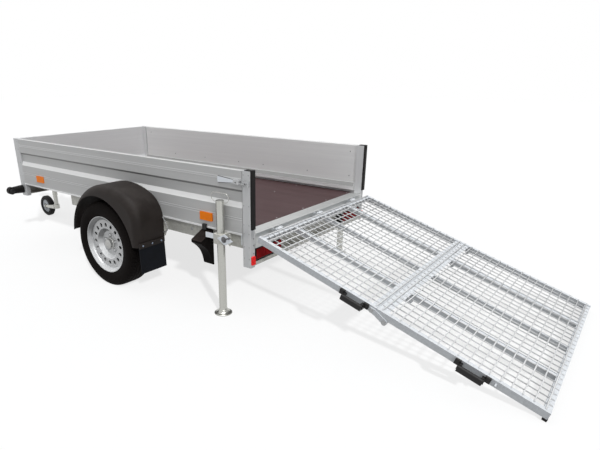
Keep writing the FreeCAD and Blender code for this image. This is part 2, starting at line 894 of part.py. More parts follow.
def guard_block(inset):
    """Solid form of the mudguard, with its outer shoulder rounded."""
    outer = guard_outer_y - inset
    face = Part.Face(guard_outline(inset))
    face.translate(V(0, guard_inner_y, 0))
    block = face.extrude(V(0, outer - guard_inner_y, 0))
    feet = max(guard_front_z, guard_rear_z)
    rounded = []
    for edge in block.Edges:
        middle = edge.valueAt((edge.FirstParameter + edge.LastParameter) / 2)
        if abs(middle.y - outer) < 0.01 and middle.z > feet:
            rounded.append(edge)
    return block.makeFillet(guard_shoulder - inset, rounded)


def mudguard():
    """Moulded guard, open below and on the inner side, cut round the wheel outside with a turned-in lip."""
    block = guard_block(0.0)
    shell = block.cut(guard_block(guard_wall))
    wheel_y = guard_outer_y - guard_shoulder
    past = guard_outer_y + guard_wall
    hub = V(0, wheel_y, tyre_radius)
    shell = shell.cut(rod(hub, V(0, past, tyre_radius), guard_opening_radius))
    lip_y = guard_outer_y - guard_lip
    lip = tube(V(0, lip_y, tyre_radius), V(0, guard_outer_y, tyre_radius), guard_opening_radius + guard_wall,
               guard_opening_radius)
    return fuse([shell, lip.common(block)])


def bracket_plate(rise):
    """Cranked bracket plate in the YZ plane; z = 0 is the middle of the part that holds the mudguard."""
    high = rise + bracket_height
    bend = guard_inner_y - bracket_side_gap
    half = bracket_height / 2
    reach = guard_inner_y + bracket_reach
    points = [(member_y, rise), (member_y, high), (bend, high), (bend, half), (reach, half), (reach, -half),
              (bend - bracket_crank, -half)]
    return section_yz(points, -bracket_thickness, 0.0)


def guard_brackets():
    """Flat cranked brackets from the side members to the front arc and the rear leg of each mudguard."""
    rise = member_low_z + bracket_rise - bracket_leg_z
    inside = guard_front_radius - guard_wall
    lean = math.asin((bracket_leg_z - guard_front_centre_z) / inside)
    seat = math.sqrt(inside ** 2 - (bracket_height / 2) ** 2) - panel_gap
    front = bracket_plate(rise)
    front.rotate(V(0, 0, 0), V(0, 1, 0), -math.degrees(lean))
    front.translate(V(guard_top_x + seat * math.cos(lean), 0, guard_front_centre_z + seat * math.sin(lean)))
    rear = bracket_plate(rise)
    rear.translate(V(guard_rear_x + guard_wall + panel_gap + bracket_thickness, 0, bracket_leg_z))
    return pair(front) + pair(rear)


def mud_flap():
    """Rubber flap behind the wheel, hung from the rear leg of the mudguard."""
    top = guard_rear_z + flap_overlap
    low = top - flap_height
    x0 = guard_rear_x - flap_thickness - panel_gap
    low_x = x0 - flap_lean
    points = [(x0, top), (x0 + flap_thickness, top), (low_x + flap_thickness, low), (low_x, low)]
    return section_xz(points, guard_inner_y + flap_inner_setback, guard_outer_y - flap_outer_setback)


def strip_corners(start, end, side, half):
    """Corners of a straight strip."""
    corners = [start.add(side * half), start.sub(side * half), end.sub(side * half), end.add(side * half)]
    return [(p.x, p.y) for p in corners]


def drawbar_arm():
    """Rectangular tube from beside the axle to the overrun device, on the near side."""
    start = V(bar_rear_x, bar_rear_y, 0)
    end = V(bar_front_x, bar_front_y, 0)
    top = member_low_z
    along = end.sub(start).normalize()
    side = V(-along.y, along.x, 0)
    past = along * bar_width
    hull = section_xy(strip_corners(start, end, side, bar_width / 2), top - bar_height, top)
    inside = strip_corners(start.sub(past), end.add(past), side, bar_width / 2 - bar_wall)
    hollow = section_xy(inside, top - bar_height + bar_wall, top - bar_wall)
    keep = box(bar_rear_x - bar_end_room, bar_front_x + bar_end_room, overrun_width / 2,
               bar_rear_y + bar_end_room, top - bar_height, top)
    return hull.cut(hollow).common(keep)


def overrun_device():
    """Folded housing over the guide tube of the sliding shaft, with end plates and a front collar."""
    x0 = overrun_rear_x
    x1 = x0 + overrun_housing_length
    half = overrun_width / 2
    low = coupling_z - overrun_height / 2
    high = low + overrun_height
    inner = half - overrun_wall
    shell = box(x0, x1, -half, half, low, high)
    top = [e for e in edges_along(shell, V(1, 0, 0)) if e.CenterOfMass.z > high - 0.001]
    shell = shell.makeFillet(overrun_edge_radius, top)
    shell = shell.cut(box(x0, x1, -inner, inner, low, high - overrun_wall))
    plates = [box(x, x + overrun_end_plate, -inner, inner, low, high - overrun_wall)
              for x in (x0, x1 - overrun_end_plate)]
    guide = rod(V(x0, 0, coupling_z), V(x1, 0, coupling_z), overrun_tube_radius)
    collar = rod(V(x1, 0, coupling_z), V(overrun_front_x, 0, coupling_z), overrun_collar_radius)
    return fuse([shell, guide, collar] + plates)


def bellows():
    """Rubber bellows over the sliding tube."""
    x = overrun_front_x + panel_gap
    pitch = (bellows_length - 2 * panel_gap) / bellows_folds
    bore = slide_tube_radius + bellows_bore_gap
    valley = bellows_radius - bellows_fold_depth
    points = [(0.0, bore), (0.0, valley)]
    for index in range(bellows_folds):
        points += [((index + 0.5) * pitch, bellows_radius), ((index + 1) * pitch, valley)]
    points.append((bellows_folds * pitch, bore))
    wire = Part.makePolygon([V(x + along, 0, coupling_z + r) for along, r in points + points[:1]])
    return Part.Face(wire).revolve(V(x, 0, coupling_z), V(1, 0, 0), 360)


def ball_room(ball_x, low):
    """Upright space for the tow ball: a cylinder from below that ends in a half sphere."""
    axis_low = V(ball_x, 0, low)
    wall_low = V(ball_x + ball_radius, 0, low)
    wall_high = V(ball_x + ball_radius, 0, coupling_z)
    crown = V(ball_x, 0, coupling_z + ball_radius)
    half = math.sqrt(0.5) * ball_radius
    shoulder = V(ball_x + half, 0, coupling_z + half)
    edges = [
        Part.LineSegment(axis_low, wall_low).toShape(),
        Part.LineSegment(wall_low, wall_high).toShape(),
        Part.Arc(wall_high, shoulder, crown).toShape(),
        Part.LineSegment(crown, axis_low).toShape(),
    ]
    return Part.Face(Part.Wire(edges)).revolve(axis_low, V(0, 0, 1), 360)


def coupling_head():
    """Pressed coupling head with a socket for the tow ball, and its hand lever raised to the rear."""
    x0 = coupling_rear_x
    half = coupling_width / 2
    ball_x = coupling_front_x - half
    low = coupling_z - coupling_below
    high = coupling_z + coupling_above
    centre = V(x0, 0, coupling_z)
    inside = centre.add(V(slide_tube_radius / 5, 0, 0))
    slide = rod(V(overrun_front_x, 0, coupling_z), inside, slide_tube_radius)
    neck = rod(centre, centre.add(V(slide_neck_length, 0, 0)), slide_neck_radius)
    rear_half = coupling_body_rear_width / 2
    front_half = half - coupling_body_inset
    start = x0 + coupling_body_start
    body = section_xy([(start, -rear_half), (ball_x, -front_half), (ball_x, front_half), (start, rear_half)],
                      low, high)
    cup = rod(V(ball_x, 0, low), V(ball_x, 0, high), half)
    head = slide.fuse(neck).fuse(body).fuse(cup)
    head = head.cut(ball_room(ball_x, low))
    foot_x = ball_x - coupling_lever_foot
    root_x = ball_x + coupling_lever_thickness / 2
    grip_x = x0 - coupling_lever_overhang
    under = high + coupling_lever_rise
    over = under + coupling_lever_thickness
    points = [
        (foot_x, high - 1), (root_x, high - 1), (root_x, high + coupling_lever_thickness),
        (grip_x + coupling_lever_grip, over), (grip_x, over), (grip_x, under),
        (grip_x + coupling_lever_grip, under), (foot_x, high + coupling_lever_thickness / 2),
    ]
    lever = section_xz(points, -coupling_lever_width / 2, coupling_lever_width / 2)
    return fuse([head, lever])


def brake_rod():
    """Pull rod from the overrun device to the yoke on the axle beam."""
    z = coupling_z - brake_rod_drop
    beam_top = beam_z + beam_size / 2
    yoke_x = beam_forward - brake_yoke_thickness / 2
    half = brake_yoke_width / 2
    yoke = box(yoke_x, yoke_x + brake_yoke_thickness, -half, half, beam_top, beam_top + brake_yoke_rise)
    pull = rod(V(yoke_x, 0, z), V(overrun_rear_x, 0, z), brake_rod_radius)
    return fuse([yoke, pull])


def handbrake_lever():
    """Hand lever beside the overrun device, with a round grip."""
    y0 = overrun_width / 2 + panel_gap
    foot = V(overrun_rear_x + handbrake_foot_reach, -y0, coupling_z + handbrake_foot_rise)
    tip = foot.add(V(-handbrake_tip_reach, 0, handbrake_tip_reach))
    out = V(0, -handbrake_thickness, 0)
    boss = rod(foot, foot.add(out), handbrake_foot_radius)
    along = tip.sub(foot).normalize()
    side = V(-along.z, 0, along.x)
    low = side * (handbrake_foot_width / 2)
    high = side * (handbrake_tip_width / 2)
    strip = [foot.add(low), foot.sub(low), tip.sub(high), tip.add(high)]
    blade = section_xz([(p.x, p.z) for p in strip], -y0 - handbrake_thickness, -y0)
    grip_start = tip.add(V(0, -handbrake_grip_radius, 0)).sub(along * handbrake_grip_overlap)
    grip = rod(grip_start, grip_start.add(along * handbrake_grip_length), handbrake_grip_radius)
    return fuse([boss, blade, grip])


def jockey_tube():
    """Outer tube of the jockey wheel with the crank on its top."""
    low = V(jockey_x, jockey_y, jockey_tube_bottom_z)
    high = V(jockey_x, jockey_y, jockey_tube_top_z)
    outer = tube(low, high, jockey_tube_radius, jockey_tube_radius - jockey_tube_wall)
    lid = rod(high, high.add(V(0, 0, jockey_lid_height)), jockey_tube_radius)
    arm_z = high.z + crank_rise
    half = crank_width / 2
    spindle = rod(high, V(high.x, high.y, arm_z + crank_thickness), crank_spindle_radius)
    crank = box(jockey_x - half, jockey_x + crank_reach, jockey_y - half, jockey_y + half, arm_z,
                arm_z + crank_thickness)
    knob_x = jockey_x + crank_reach - crank_knob_radius
    knob = rod(V(knob_x, jockey_y, arm_z + crank_thickness / 2 - crank_knob_length),
               V(knob_x, jockey_y, arm_z + crank_thickness / 2), crank_knob_radius)
    return fuse([outer, lid, spindle, crank, knob])


def jockey_clamp():
    """Split clamp that holds the jockey wheel's outer tube to the overrun housing."""
    z0 = coupling_z - clamp_height / 2
    z1 = z0 + clamp_height
    outer = jockey_tube_radius + clamp_ring_wall
    bore = jockey_tube_radius + clamp_bore_gap
    ring = tube(V(jockey_x, jockey_y, z0), V(jockey_x, jockey_y, z1), outer, bore)
    half = clamp_web_width / 2
    web = box(jockey_x - half, jockey_x + half, overrun_width / 2, jockey_y, z0, z1)
    web = web.cut(rod(V(jockey_x, jockey_y, z0), V(jockey_x, jockey_y, z1), bore))
    start = V(jockey_x, jockey_y + outer - clamp_overlap, coupling_z)
    end = V(jockey_x, jockey_y + outer + clamp_screw_length, coupling_z)
    screw = rod(start, end, clamp_screw_radius)
    along = V(clamp_handle_length / 2, 0, 0)
    handle = rod(end.sub(along), end.add(along), clamp_handle_radius)
    return fuse([ring, web, screw, handle])


def jockey_leg():
    """Inner tube that slides in the outer one."""
    low = V(jockey_x, jockey_y, jockey_leg_bottom_z + jockey_leg_room)
    high = V(jockey_x, jockey_y, coupling_z + jockey_leg_above_coupling)
    return rod(low, high, jockey_leg_radius)


def jockey_fork():
    """Trailing fork that swivels on the leg's end and holds the wheel between two tapered cheeks."""
    z0 = jockey_leg_bottom_z - jockey_fork_drop
    z1 = jockey_leg_bottom_z + jockey_leg_room - slide_gap
    axle = V(jockey_axle_x, jockey_y, jockey_wheel_radius)
    inner = jockey_wheel_width / 2 + jockey_fork_gap
    outer = inner + jockey_fork_wall
    start = jockey_x + jockey_bridge_start
    high = z0 + jockey_fork_height
    eye = jockey_fork_eye
    points = [(start, z0), (start, high), (axle.x, axle.z + eye), (axle.x, axle.z - eye)]
    crown = rod(V(jockey_x, jockey_y, z0), V(jockey_x, jockey_y, z1), jockey_leg_radius + jockey_crown_margin)
    bridge = box(start, jockey_x + jockey_bridge_end, jockey_y - outer, jockey_y + outer, z0, high)
    pieces = [crown, bridge]
    for y0 in (jockey_y - outer, jockey_y + inner):
        pieces.append(section_xz(points, y0, y0 + jockey_fork_wall))
        pieces.append(rod(V(axle.x, y0, axle.z), V(axle.x, y0 + jockey_fork_wall, axle.z), eye))
    reach = V(0, inner + jockey_axle_overhang, 0)
    pieces.append(rod(axle.sub(reach), axle.add(reach), jockey_axle_radius))
    return fuse(pieces)


def jockey_wheel():
    """Solid rubber wheel with a dished centre and a bore for the fork's axle."""
    half = jockey_wheel_width / 2
    dish = half - jockey_dish_depth
    r = jockey_wheel_radius
    edge = jockey_wheel_edge
    side = [
        (jockey_axle_radius + panel_gap, half), (jockey_dish_inner, half), (jockey_dish_inner, dish),
        (jockey_dish_outer, dish), (jockey_dish_outer + jockey_dish_slope, half), (r - edge, half),
        (r, half - edge),
    ]
    section = side + [(radius, -y) for radius, y in reversed(side)]
    return revolve_y(section, V(jockey_axle_x, jockey_y, r))


def prop_ring(x, y):
    """Wire ring through the top of the prop leg: two straight runs and two half circles."""
    middle = (prop_ring_low_z + prop_ring_top_z) / 2
    bend = (prop_ring_top_z - prop_ring_low_z) / 2
    run = prop_ring_width / 2 - bend
    pieces = []
    for z in (prop_ring_low_z, prop_ring_top_z):
        pieces.append(rod(V(x - run, y, z), V(x + run, y, z), prop_ring_wire))
    for sign in (-1, 1):
        centre = V(x + sign * run, y, middle)
        circle = Part.makeCircle(prop_ring_wire, centre.add(V(0, 0, bend)), V(1, 0, 0))
        face = Part.Face(Part.Wire([circle]))
        pieces.append(face.revolve(centre, V(0, 1, 0), sign * 180))
    return pieces


def prop_leg():
    """Prop leg: tube with a lid, a bell-shaped foot and the wire ring that lifts it."""
    x, y = prop_x, prop_y
    r = prop_tube_radius
    inner = r - prop_tube_wall
    base = V(x, y, 0)
    rim_in = prop_foot_radius - prop_foot_edge / 2
    outline = [
        (inner, prop_foot_plate), (0.0, prop_foot_plate), (0.0, 0.0), (prop_foot_radius, 0.0),
        (prop_foot_radius, prop_foot_edge), (rim_in, prop_foot_plate),
    ]
    low = [V(x + radius, y, z) for radius, z in outline]
    under_lid = prop_top_z - prop_lid
    upper = [(r, prop_flare_height), (r, prop_top_z), (0.0, prop_top_z), (0.0, under_lid), (inner, under_lid)]
    high = [V(x + radius, y, z) for radius, z in upper]
    belly = V(x + r + prop_flare_belly / 2, y, prop_foot_plate + prop_flare_belly)
    edges = [Part.LineSegment(a, b).toShape() for a, b in zip(low, low[1:])]
    edges.append(Part.Arc(low[-1], belly, high[0]).toShape())
    edges += [Part.LineSegment(a, b).toShape() for a, b in zip(high, high[1:] + low[:1])]
    leg = Part.Face(Part.Wire(edges)).revolve(base, V(0, 0, 1), 360)
    return fuse([leg] + prop_ring(x, y))


def prop_clamp():
    """Clamp block on the side member round the prop leg, with a diamond plate and a clamping lever."""
    z0 = prop_clamp_z - prop_clamp_height / 2
    z1 = z0 + prop_clamp_height
    outer = prop_tube_radius + prop_clamp_margin
    block = box(prop_x - outer, prop_x + outer, member_y, prop_y + outer, z0, z1)
    corners = [e for e in edges_along(block, V(0, 0, 1)) if e.CenterOfMass.y > prop_y]
    block = block.makeFillet(prop_clamp_edge, corners)
    bore_low = V(prop_x, prop_y, z0 - prop_clamp_margin)
    bore_high = V(prop_x, prop_y, z1 + prop_clamp_margin)
    bore = rod(bore_low, bore_high, prop_tube_radius + slide_gap)
    middle = prop_clamp_z
    rear = prop_x - outer
    plate_y = prop_y + prop_plate_setback
    half = prop_plate_height / 2
    corners = [(prop_x, middle + half), (prop_x - prop_plate_reach, middle), (prop_x, middle - half)]
    diamond = section_xz(corners, plate_y, plate_y + prop_plate_thickness)
    end = V(rear - prop_screw_length, prop_y, middle)
    screw = rod(V(rear + clamp_overlap, prop_y, middle), end, prop_screw_radius)
    along = V(0, 0, prop_lever_length / 2)
    lever = rod(end.sub(along), end.add(along), prop_lever_radius)
    return fuse([block, diamond, screw, lever]).cut(bore)


def ramp_box(s0, s1, y0, y1, d0, d1):
    """Box on the ramp: s runs down the slope from the hinge, d down from the walking surface."""
    return box(-s1, -s0, y0, y1, -d1, -d0)


def ramp_rod(s, d, y0, y1, radius):
    """Round bar across the ramp."""
    return rod(V(-s, y0, -d), V(-s, y1, -d), radius)


def tilt(shape):
    """Lay a piece drawn on a level ramp onto the slope."""
    shape = shape.copy()
    shape.rotate(V(0, 0, 0), V(0, 1, 0), -math.degrees(slope))
    shape.translate(V(ramp_x, 0, floor_top_z))
    return shape


def ramp_rail(s0, s1):
    """Side rail of one ramp half on the near side: a rectangular tube below the cross wires."""
    y0 = ramp_rail_y
    y1 = ramp_width / 2
    wall = ramp_tube_wall
    rail = ramp_box(s0, s1, y0, y1, mesh_wire, ramp_rail_depth)
    return rail.cut(ramp_box(s0, s1, y0 + wall, y1 - wall, mesh_wire + wall, ramp_rail_depth - wall))


def channel_places():
    """Middles of the open long bars, on both sides of the closed one in the middle."""
    step = ramp_width / (ramp_bar_count + 1)
    return [(index + 1) * step - ramp_width / 2 for index in range(ramp_bar_count)]


def ramp_bars(s0, s1):
    """Long bars below the mesh: a closed tube in the middle, and channels open to the top beside it."""
    high = 2 * mesh_wire
    low = ramp_rail_depth
    start = s0 + ramp_end_bar
    end = s1 - ramp_end_bar
    bars = []
    for y in channel_places():
        middle = abs(y) < ramp_middle_bar_width
        half = (ramp_middle_bar_width if middle else ramp_channel_width) / 2
        wall = ramp_tube_wall if middle else ramp_channel_wall
        top = high + wall if middle else high
        bar = ramp_box(start, end, y - half, y + half, high, low)
        bars.append(bar.cut(ramp_box(start, end, y - half + wall, y + half - wall, top, low - wall)))
    return bars


def ramp_end_bar_tube(s0):
    """Cross bar between the side rails: a square tube below both layers of wires."""
    wall = ramp_tube_wall
    high = 2 * mesh_wire
    s1 = s0 + ramp_end_bar
    bar = ramp_box(s0, s1, -ramp_rail_y, ramp_rail_y, high, ramp_rail_depth)
    low = ramp_rail_depth - wall
    return bar.cut(ramp_box(s0 + wall, s1 - wall, -ramp_rail_y, ramp_rail_y, high + wall, low))


def mesh_long_wires(s0, s1):
    """Wires down the slope, resting on the end bars and the long bars."""
    count = int(2 * ramp_rail_y / mesh_pitch)
    half = mesh_wire / 2
    wires = []
    for index in range(1, count + 1):
        y = (index - (count + 1) / 2) * mesh_pitch
        wires.append(tilt(ramp_box(s0 + mesh_end_margin, s1 - mesh_end_margin, y - half, y + half,
                                   mesh_wire, 2 * mesh_wire)))
    return wires


def mesh_cross_wires(s0, s1):
    """Wires across the slope, resting on the long wires and on the side rails."""
    reach = ramp_width / 2 - mesh_side_margin
    half = mesh_wire / 2
    clear = s1 - s0 - 2 * (mesh_end_margin + mesh_wire)
    count = int(clear / mesh_pitch) + 1
    wires = []
    for index in range(1, count + 1):
        s = (s0 + s1) / 2 + (index - (count + 1) / 2) * mesh_pitch
        wires.append(tilt(ramp_box(s - half, s + half, -reach, reach, 0, mesh_wire)))
    return wires


def hinge_brackets():
    """Ear pairs with their pins on the sill, which carry the ramp."""
    inner = hinge_knuckle_half + hinge_ear_gap
    outer = inner + hinge_ear_thickness
    brackets = []
    for y in hinge_places:
        reach = outer + hinge_pin_overhang
        pin_start = V(pivot_x, y - reach, hinge_pin_z)
        pieces = [rod(pin_start, pin_start.add(V(0, 2 * reach, 0)), hinge_pin_radius)]
        for y0 in (y - outer, y + inner):
            y1 = y0 + hinge_ear_thickness
            pieces.append(rod(V(pivot_x, y0, hinge_pin_z), V(pivot_x, y1, hinge_pin_z), hinge_ear_radius))
            pieces.append(box(pivot_x, sill_rear_x, y0, y1, hinge_pin_z - hinge_ear_below,
                              hinge_pin_z + hinge_ear_above))
        brackets.append(fuse(pieces))
    return brackets


def ramp_inner_end_bars():
    """Cross bars of the inner half: one with the hinge knuckles, one with the plate under the outer half."""
    first = [ramp_end_bar_tube(ramp_start)]
    half = hinge_knuckle_half
    bores = []
    for y in hinge_places:
        first.append(ramp_rod(0, hinge_pin_drop, y - half, y + half, hinge_knuckle_radius))
        first.append(ramp_box(0, ramp_start, y - half, y + half, hinge_strap_top, hinge_strap_bottom))
        first.append(ramp_box(ramp_start - hinge_pad_thickness, ramp_start, y - hinge_pad_half,
                              y + hinge_pad_half, 2 * mesh_wire, ramp_rail_depth))
        bores.append(ramp_rod(0, hinge_pin_drop, y - half, y + half, hinge_pin_radius + pin_clearance))
    near = fuse(first)
    for bore in bores:
        near = near.cut(bore)
    last_s = ramp_inner_length - ramp_end_bar
    plate_top = ramp_rail_depth + support_seat_gap
    s0 = ramp_inner_length - support_rear
    s1 = ramp_inner_length + support_front
    plate = ramp_box(s0, s1, -ramp_rail_y, ramp_rail_y, plate_top, plate_top + support_thickness)
    seat = ramp_box(s0, ramp_inner_length, -ramp_rail_y, ramp_rail_y, ramp_rail_depth, plate_top)
    far = [ramp_end_bar_tube(last_s), seat, plate]
    for arm in support_arms(plate_top):
        far.append(arm)
    return [tilt(near), tilt(fuse(far))]


def support_arms(plate_top):
    """Arms from the plate's underside to the fold pivot, each beside an open long bar, with their pins."""
    start = ramp_inner_length + support_arm_start
    end = ramp_inner_length + support_front
    pivot = fold_pivot_s
    drop = fold_pivot_drop
    y0 = channel_places()[-1] + ramp_channel_width / 2 + panel_gap
    y1 = y0 + fold_arm_thickness
    points = [(-start, -plate_top), (-end, -plate_top), (-pivot, fold_lobe_radius - drop),
              (-pivot, -drop - fold_lobe_radius), (-start, -plate_top - support_arm_depth)]
    blade = section_xz(points, y0, y1)
    lobe = ramp_rod(pivot, drop, y0, y1, fold_lobe_radius)
    pin = ramp_rod(pivot, drop, y0 - fold_lug_width, y1 + fold_pin_overhang, fold_pin_radius)
    return pair(fuse([blade, lobe, pin]))


def fold_arms():
    """Arms from the inner half's rails to the fold pivot under the outer half."""
    s0 = ramp_inner_length
    s1 = fold_pivot_s
    drop = fold_pivot_drop
    lobe_r = fold_lobe_radius
    y1 = ramp_width / 2 + panel_gap
    start = s0 - fold_arm_start
    quarter = lobe_r / 4
    outline = [(-start, -lobe_r), (-s0, -lobe_r), (-(s1 + quarter), lobe_r - drop),
               (-s1, -drop - lobe_r), (-s0, -ramp_rail_depth - quarter), (-start, quarter - ramp_rail_depth)]
    plate = section_xz(outline, y1, y1 + fold_arm_thickness)
    lobe = ramp_rod(s1, drop, y1, y1 + fold_arm_thickness, lobe_r)
    pin_inner = y1 - fold_lug_width - fold_pin_overhang
    pin_outer = y1 + fold_arm_thickness + fold_pin_overhang
    pin = ramp_rod(s1, drop, pin_inner, pin_outer, fold_pin_radius)
    return [tilt(piece) for piece in pair(fuse([plate, lobe, pin]))]


def fold_lug(y1):
    """Lug below an outer bar or rail, with the bore for the fold pin; y1 is its outer side."""
    s1 = fold_pivot_s
    drop = fold_pivot_drop
    y0 = y1 - fold_lug_width
    radius = fold_lug_radius
    stem = ramp_box(s1 - radius, s1 + radius, y0, y1, ramp_rail_depth, drop)
    lug = ramp_rod(s1, drop, y0, y1, radius).fuse(stem)
    lug = lug.cut(ramp_box(s1 - 2 * radius, s1 + 2 * radius, y0, y1, 0, ramp_rail_depth))
    return lug.cut(ramp_rod(s1, drop, y0, y1, fold_pin_radius + pin_clearance))


def ramp_outer_long_bars():
    """Rails and long bars of the outer half, with fold lugs and the side pins for the latches."""
    y1 = ramp_width / 2
    pin = ramp_rod(side_pin_s, side_pin_drop, y1 - ramp_tube_wall, y1 + side_pin_length, side_pin_radius)
    rail = fuse([ramp_rail(ramp_outer_start, ramp_end_s), fold_lug(y1), pin])
    bars = []
    for y, bar in zip(channel_places(), ramp_bars(ramp_outer_start, ramp_end_s)):
        if abs(y) > ramp_middle_bar_width:
            lug = fold_lug(abs(y) + ramp_channel_width / 2)
            bar = fuse([bar, lug if y > 0 else mirrored(lug)])
        bars.append(tilt(bar))
    return [tilt(piece) for piece in pair(rail)] + bars


def end_caps():
    """Plastic caps on the ramp's lower rail ends, which reach down to the ground."""
    y1 = ramp_width / 2
    cap = ramp_box(ramp_end_s - foot_cap_length, ramp_foot_s, y1 - ramp_rail_width, y1,
                   ramp_rail_depth, ramp_foot_drop)
    return [tilt(cap), tilt(mirrored(cap))]


def grip_handle(s_mid):
    """Moulded pull handle beside the near rail: a rounded grip held off the rail by two footed arms."""
    y1 = ramp_width / 2
    near = y1 + handle_out_near
    far = y1 + handle_out_far
    grip = ramp_box(s_mid - handle_grip_half, s_mid + handle_grip_half, near, far,
                    handle_grip_top, handle_bottom)
    pieces = [grip.makeFillet(handle_edge_radius, edges_along(grip, V(1, 0, 0)))]
    for side in (-1, 1):
        foot = sorted((s_mid + side * handle_half, s_mid + side * (handle_half - handle_foot_width)))
        arm = sorted((s_mid + side * handle_arm_half, s_mid + side * (handle_arm_half - handle_arm_width)))
        pieces.append(ramp_box(foot[0], foot[1], y1 + panel_gap, y1 + handle_foot_reach,
                               handle_top, handle_foot_bottom))
        pieces.append(ramp_box(arm[0], arm[1], y1 + panel_gap, near + handle_edge_radius,
                               handle_arm_top, handle_arm_bottom))
    return tilt(fuse(pieces))


def side_reflector(x):
    """Reflector block with rounded corners on the near wall."""
    low = wall_bottom_z + reflector_rise
    half = reflector_width / 2
    block = box(x - half, x + half, body_half, body_half + reflector_thickness, low, low + reflector_height)
    return block.makeFillet(reflector_radius, edges_along(block, V(0, 1, 0)))


def position_lamp():
    """Front position lamp: a tapered rubber arm out past the wall, with a round lamp across its end."""
    x = front_x - position_lamp_setback
    z = wall_bottom_z - position_lamp_drop
    root = V(x, body_half, z)
    arm = Part.makeCone(position_arm_root, position_arm_tip, position_arm_length, root, V(0, 1, 0))
    y = body_half + position_arm_length
    reach = V(position_head_length / 2, 0, 0)
    head = rod(V(x, y, z).sub(reach), V(x, y, z).add(reach), position_head_radius)
    return fuse([arm, head])


def rear_reflector():
    """Red reflector at the foot of the rear post."""
    y0 = body_half - post_depth / 2 - rear_reflector_width / 2
    low = rear_post_bottom_z + rear_reflector_rise
    block = box(rear_x - rear_reflector_thickness, rear_x, y0, y0 + rear_reflector_width,
                low, low + rear_reflector_height)
    return block.makeFillet(reflector_radius, edges_along(block, V(1, 0, 0)))


def latch():
    """Toggle latch along the top of the near wall: base plate, tapered lever, block and hook."""
    y0 = body_half + panel_gap
    y1 = y0 + latch_plate_thickness
    x0 = rear_x + latch_start
    x1 = x0 + latch_plate_length
    middle = wall_top_z - latch_drop
    half = latch_plate_height / 2
    plate = box(x0, x1, y0, y1, middle - half, middle + half)
    plate = plate.makeFillet(latch_plate_radius, edges_along(plate, V(0, 1, 0)))
    tip = latch_lever_tip_height / 2
    root = latch_lever_root_height / 2
    lever_x = x0 + latch_lever_rear
    tip_x = x1 - latch_plate_radius
    lever = section_xz([(lever_x, middle - root), (tip_x, middle - tip), (tip_x, middle + tip),
                        (lever_x, middle + root)], y1, y1 + latch_lever_thickness)
    block_x = x0 + latch_block_start
    block_half = latch_block_height / 2
    block = box(block_x, block_x + latch_block_length, y1, y1 + latch_block_thickness,
                middle - block_half, middle + block_half)
    hook_y = y1 + latch_block_thickness / 2
    hook_z = wall_top_z - latch_hook_drop
    hook_x = x0 + latch_hook_setback
    stem = rod(V(block_x, hook_y, hook_z), V(hook_x, hook_y, hook_z), latch_hook_radius)
    up = V(0, 0, latch_hook_height / 2)
    cross = rod(V(hook_x, hook_y, hook_z).sub(up), V(hook_x, hook_y, hook_z).add(up), latch_hook_radius)
    return fuse([plate, lever, block, stem, cross])


def wheel_chock():
    """Wheel chock that hangs point down in its holder below the near wall, with a hollow running face."""
    x0 = rear_x + chock_setback - chock_width / 2
    x1 = x0 + chock_width
    y0 = member_y + panel_gap
    y1 = y0 + chock_reach
    top = wall_bottom_z - chock_top_gap
    low = wall_bottom_z - chock_bottom_drop
    section = [(y0 + chock_tip, low), (y0, low), (y0, top), (y1, wall_bottom_z - chock_outer_drop),
               (y1, wall_bottom_z - chock_lip_drop)]
    points = [V(x0, y, z) for y, z in section]
    belly = V(x0, y0 + chock_belly_y, wall_bottom_z - chock_belly_drop)
    edges = [Part.LineSegment(a, b).toShape() for a, b in zip(points, points[1:])]
    edges.append(Part.Arc(points[-1], belly, points[0]).toShape())
    chock = Part.Face(Part.Wire(edges)).extrude(V(chock_width, 0, 0))
    plate_y = body_half + panel_gap
    margin = (holder_width - chock_width) / 2
    holder = box(x0 - margin, x1 + margin, plate_y, plate_y + holder_thickness,
                 wall_bottom_z - chock_outer_drop, wall_bottom_z + holder_rise)
    return fuse([chock, holder])


def tie_down(x):
    """Lashing point on the wall's ledge: a plate with a ring that lies flat below it."""
    low = wall_top_z - ledge_drop - ledge_top_slope - ledge_height
    half = tie_plate_length / 2
    high = low + ledge_height
    plate = box(x - half, x + half, ledge_y - tie_plate_thickness, ledge_y, high - tie_plate_height, high)
    centre_z = high - tie_plate_height
    ring_front = V(x, ledge_y - 2 * tie_ring_thickness, centre_z)
    ring_back = V(x, ledge_y - tie_ring_thickness, centre_z)
    ring = tube(ring_front, ring_back, tie_ring_radius, tie_ring_bore)
    return fuse([plate, ring])


def tie_downs():
    """Lashing points on both walls just above the floor."""
    first = front_x - tie_front_setback
    places = (first, first - tie_spacing, rear_x + tie_rear_setback)
    return [piece for x in places for piece in pair(tie_down(x))]


def write_sides(name, piece):
    """Write a piece and its mirror image as two nodes."""
    write(name + "_left", piece)
    write(name + "_right", mirrored(piece))


def write_bed():
    """Write the walls, posts, floor and frame."""
    write_sides("side_wall", side_wall())
    write("front_wall", front_wall())
    write("front_posts", pair(post(wall_front_x, front_x, front_post_bottom_z)))
    write("rear_posts", pair(post(rear_x, wall_rear_x, rear_post_bottom_z)))
    write("post_seals", pair(post_seal()))
    write("floor_panel", floor_panel())
    write("rear_sill", rear_sill())
    write_sides("side_member", side_member())
    write("cross_members", cross_members())
    write("front_cross_member", front_cross_member())
    write("lamp_carrier", lamp_carrier())
    write("tie_downs", tie_downs())
    write("latches", pair(latch()))
    write("wheel_chocks", pair(wheel_chock()))


def write_lamps():
    """Write the lamps and reflectors."""
    write("tail_lamps", pair(tail_lamp()))
    front = side_reflector(front_x - reflector_front_setback)
    rear = side_reflector(rear_x + reflector_rear_setback)
    write("side_reflectors", pair(front) + pair(rear))
    write("position_lamps", pair(position_lamp()))
    write("rear_reflectors", pair(rear_reflector()))


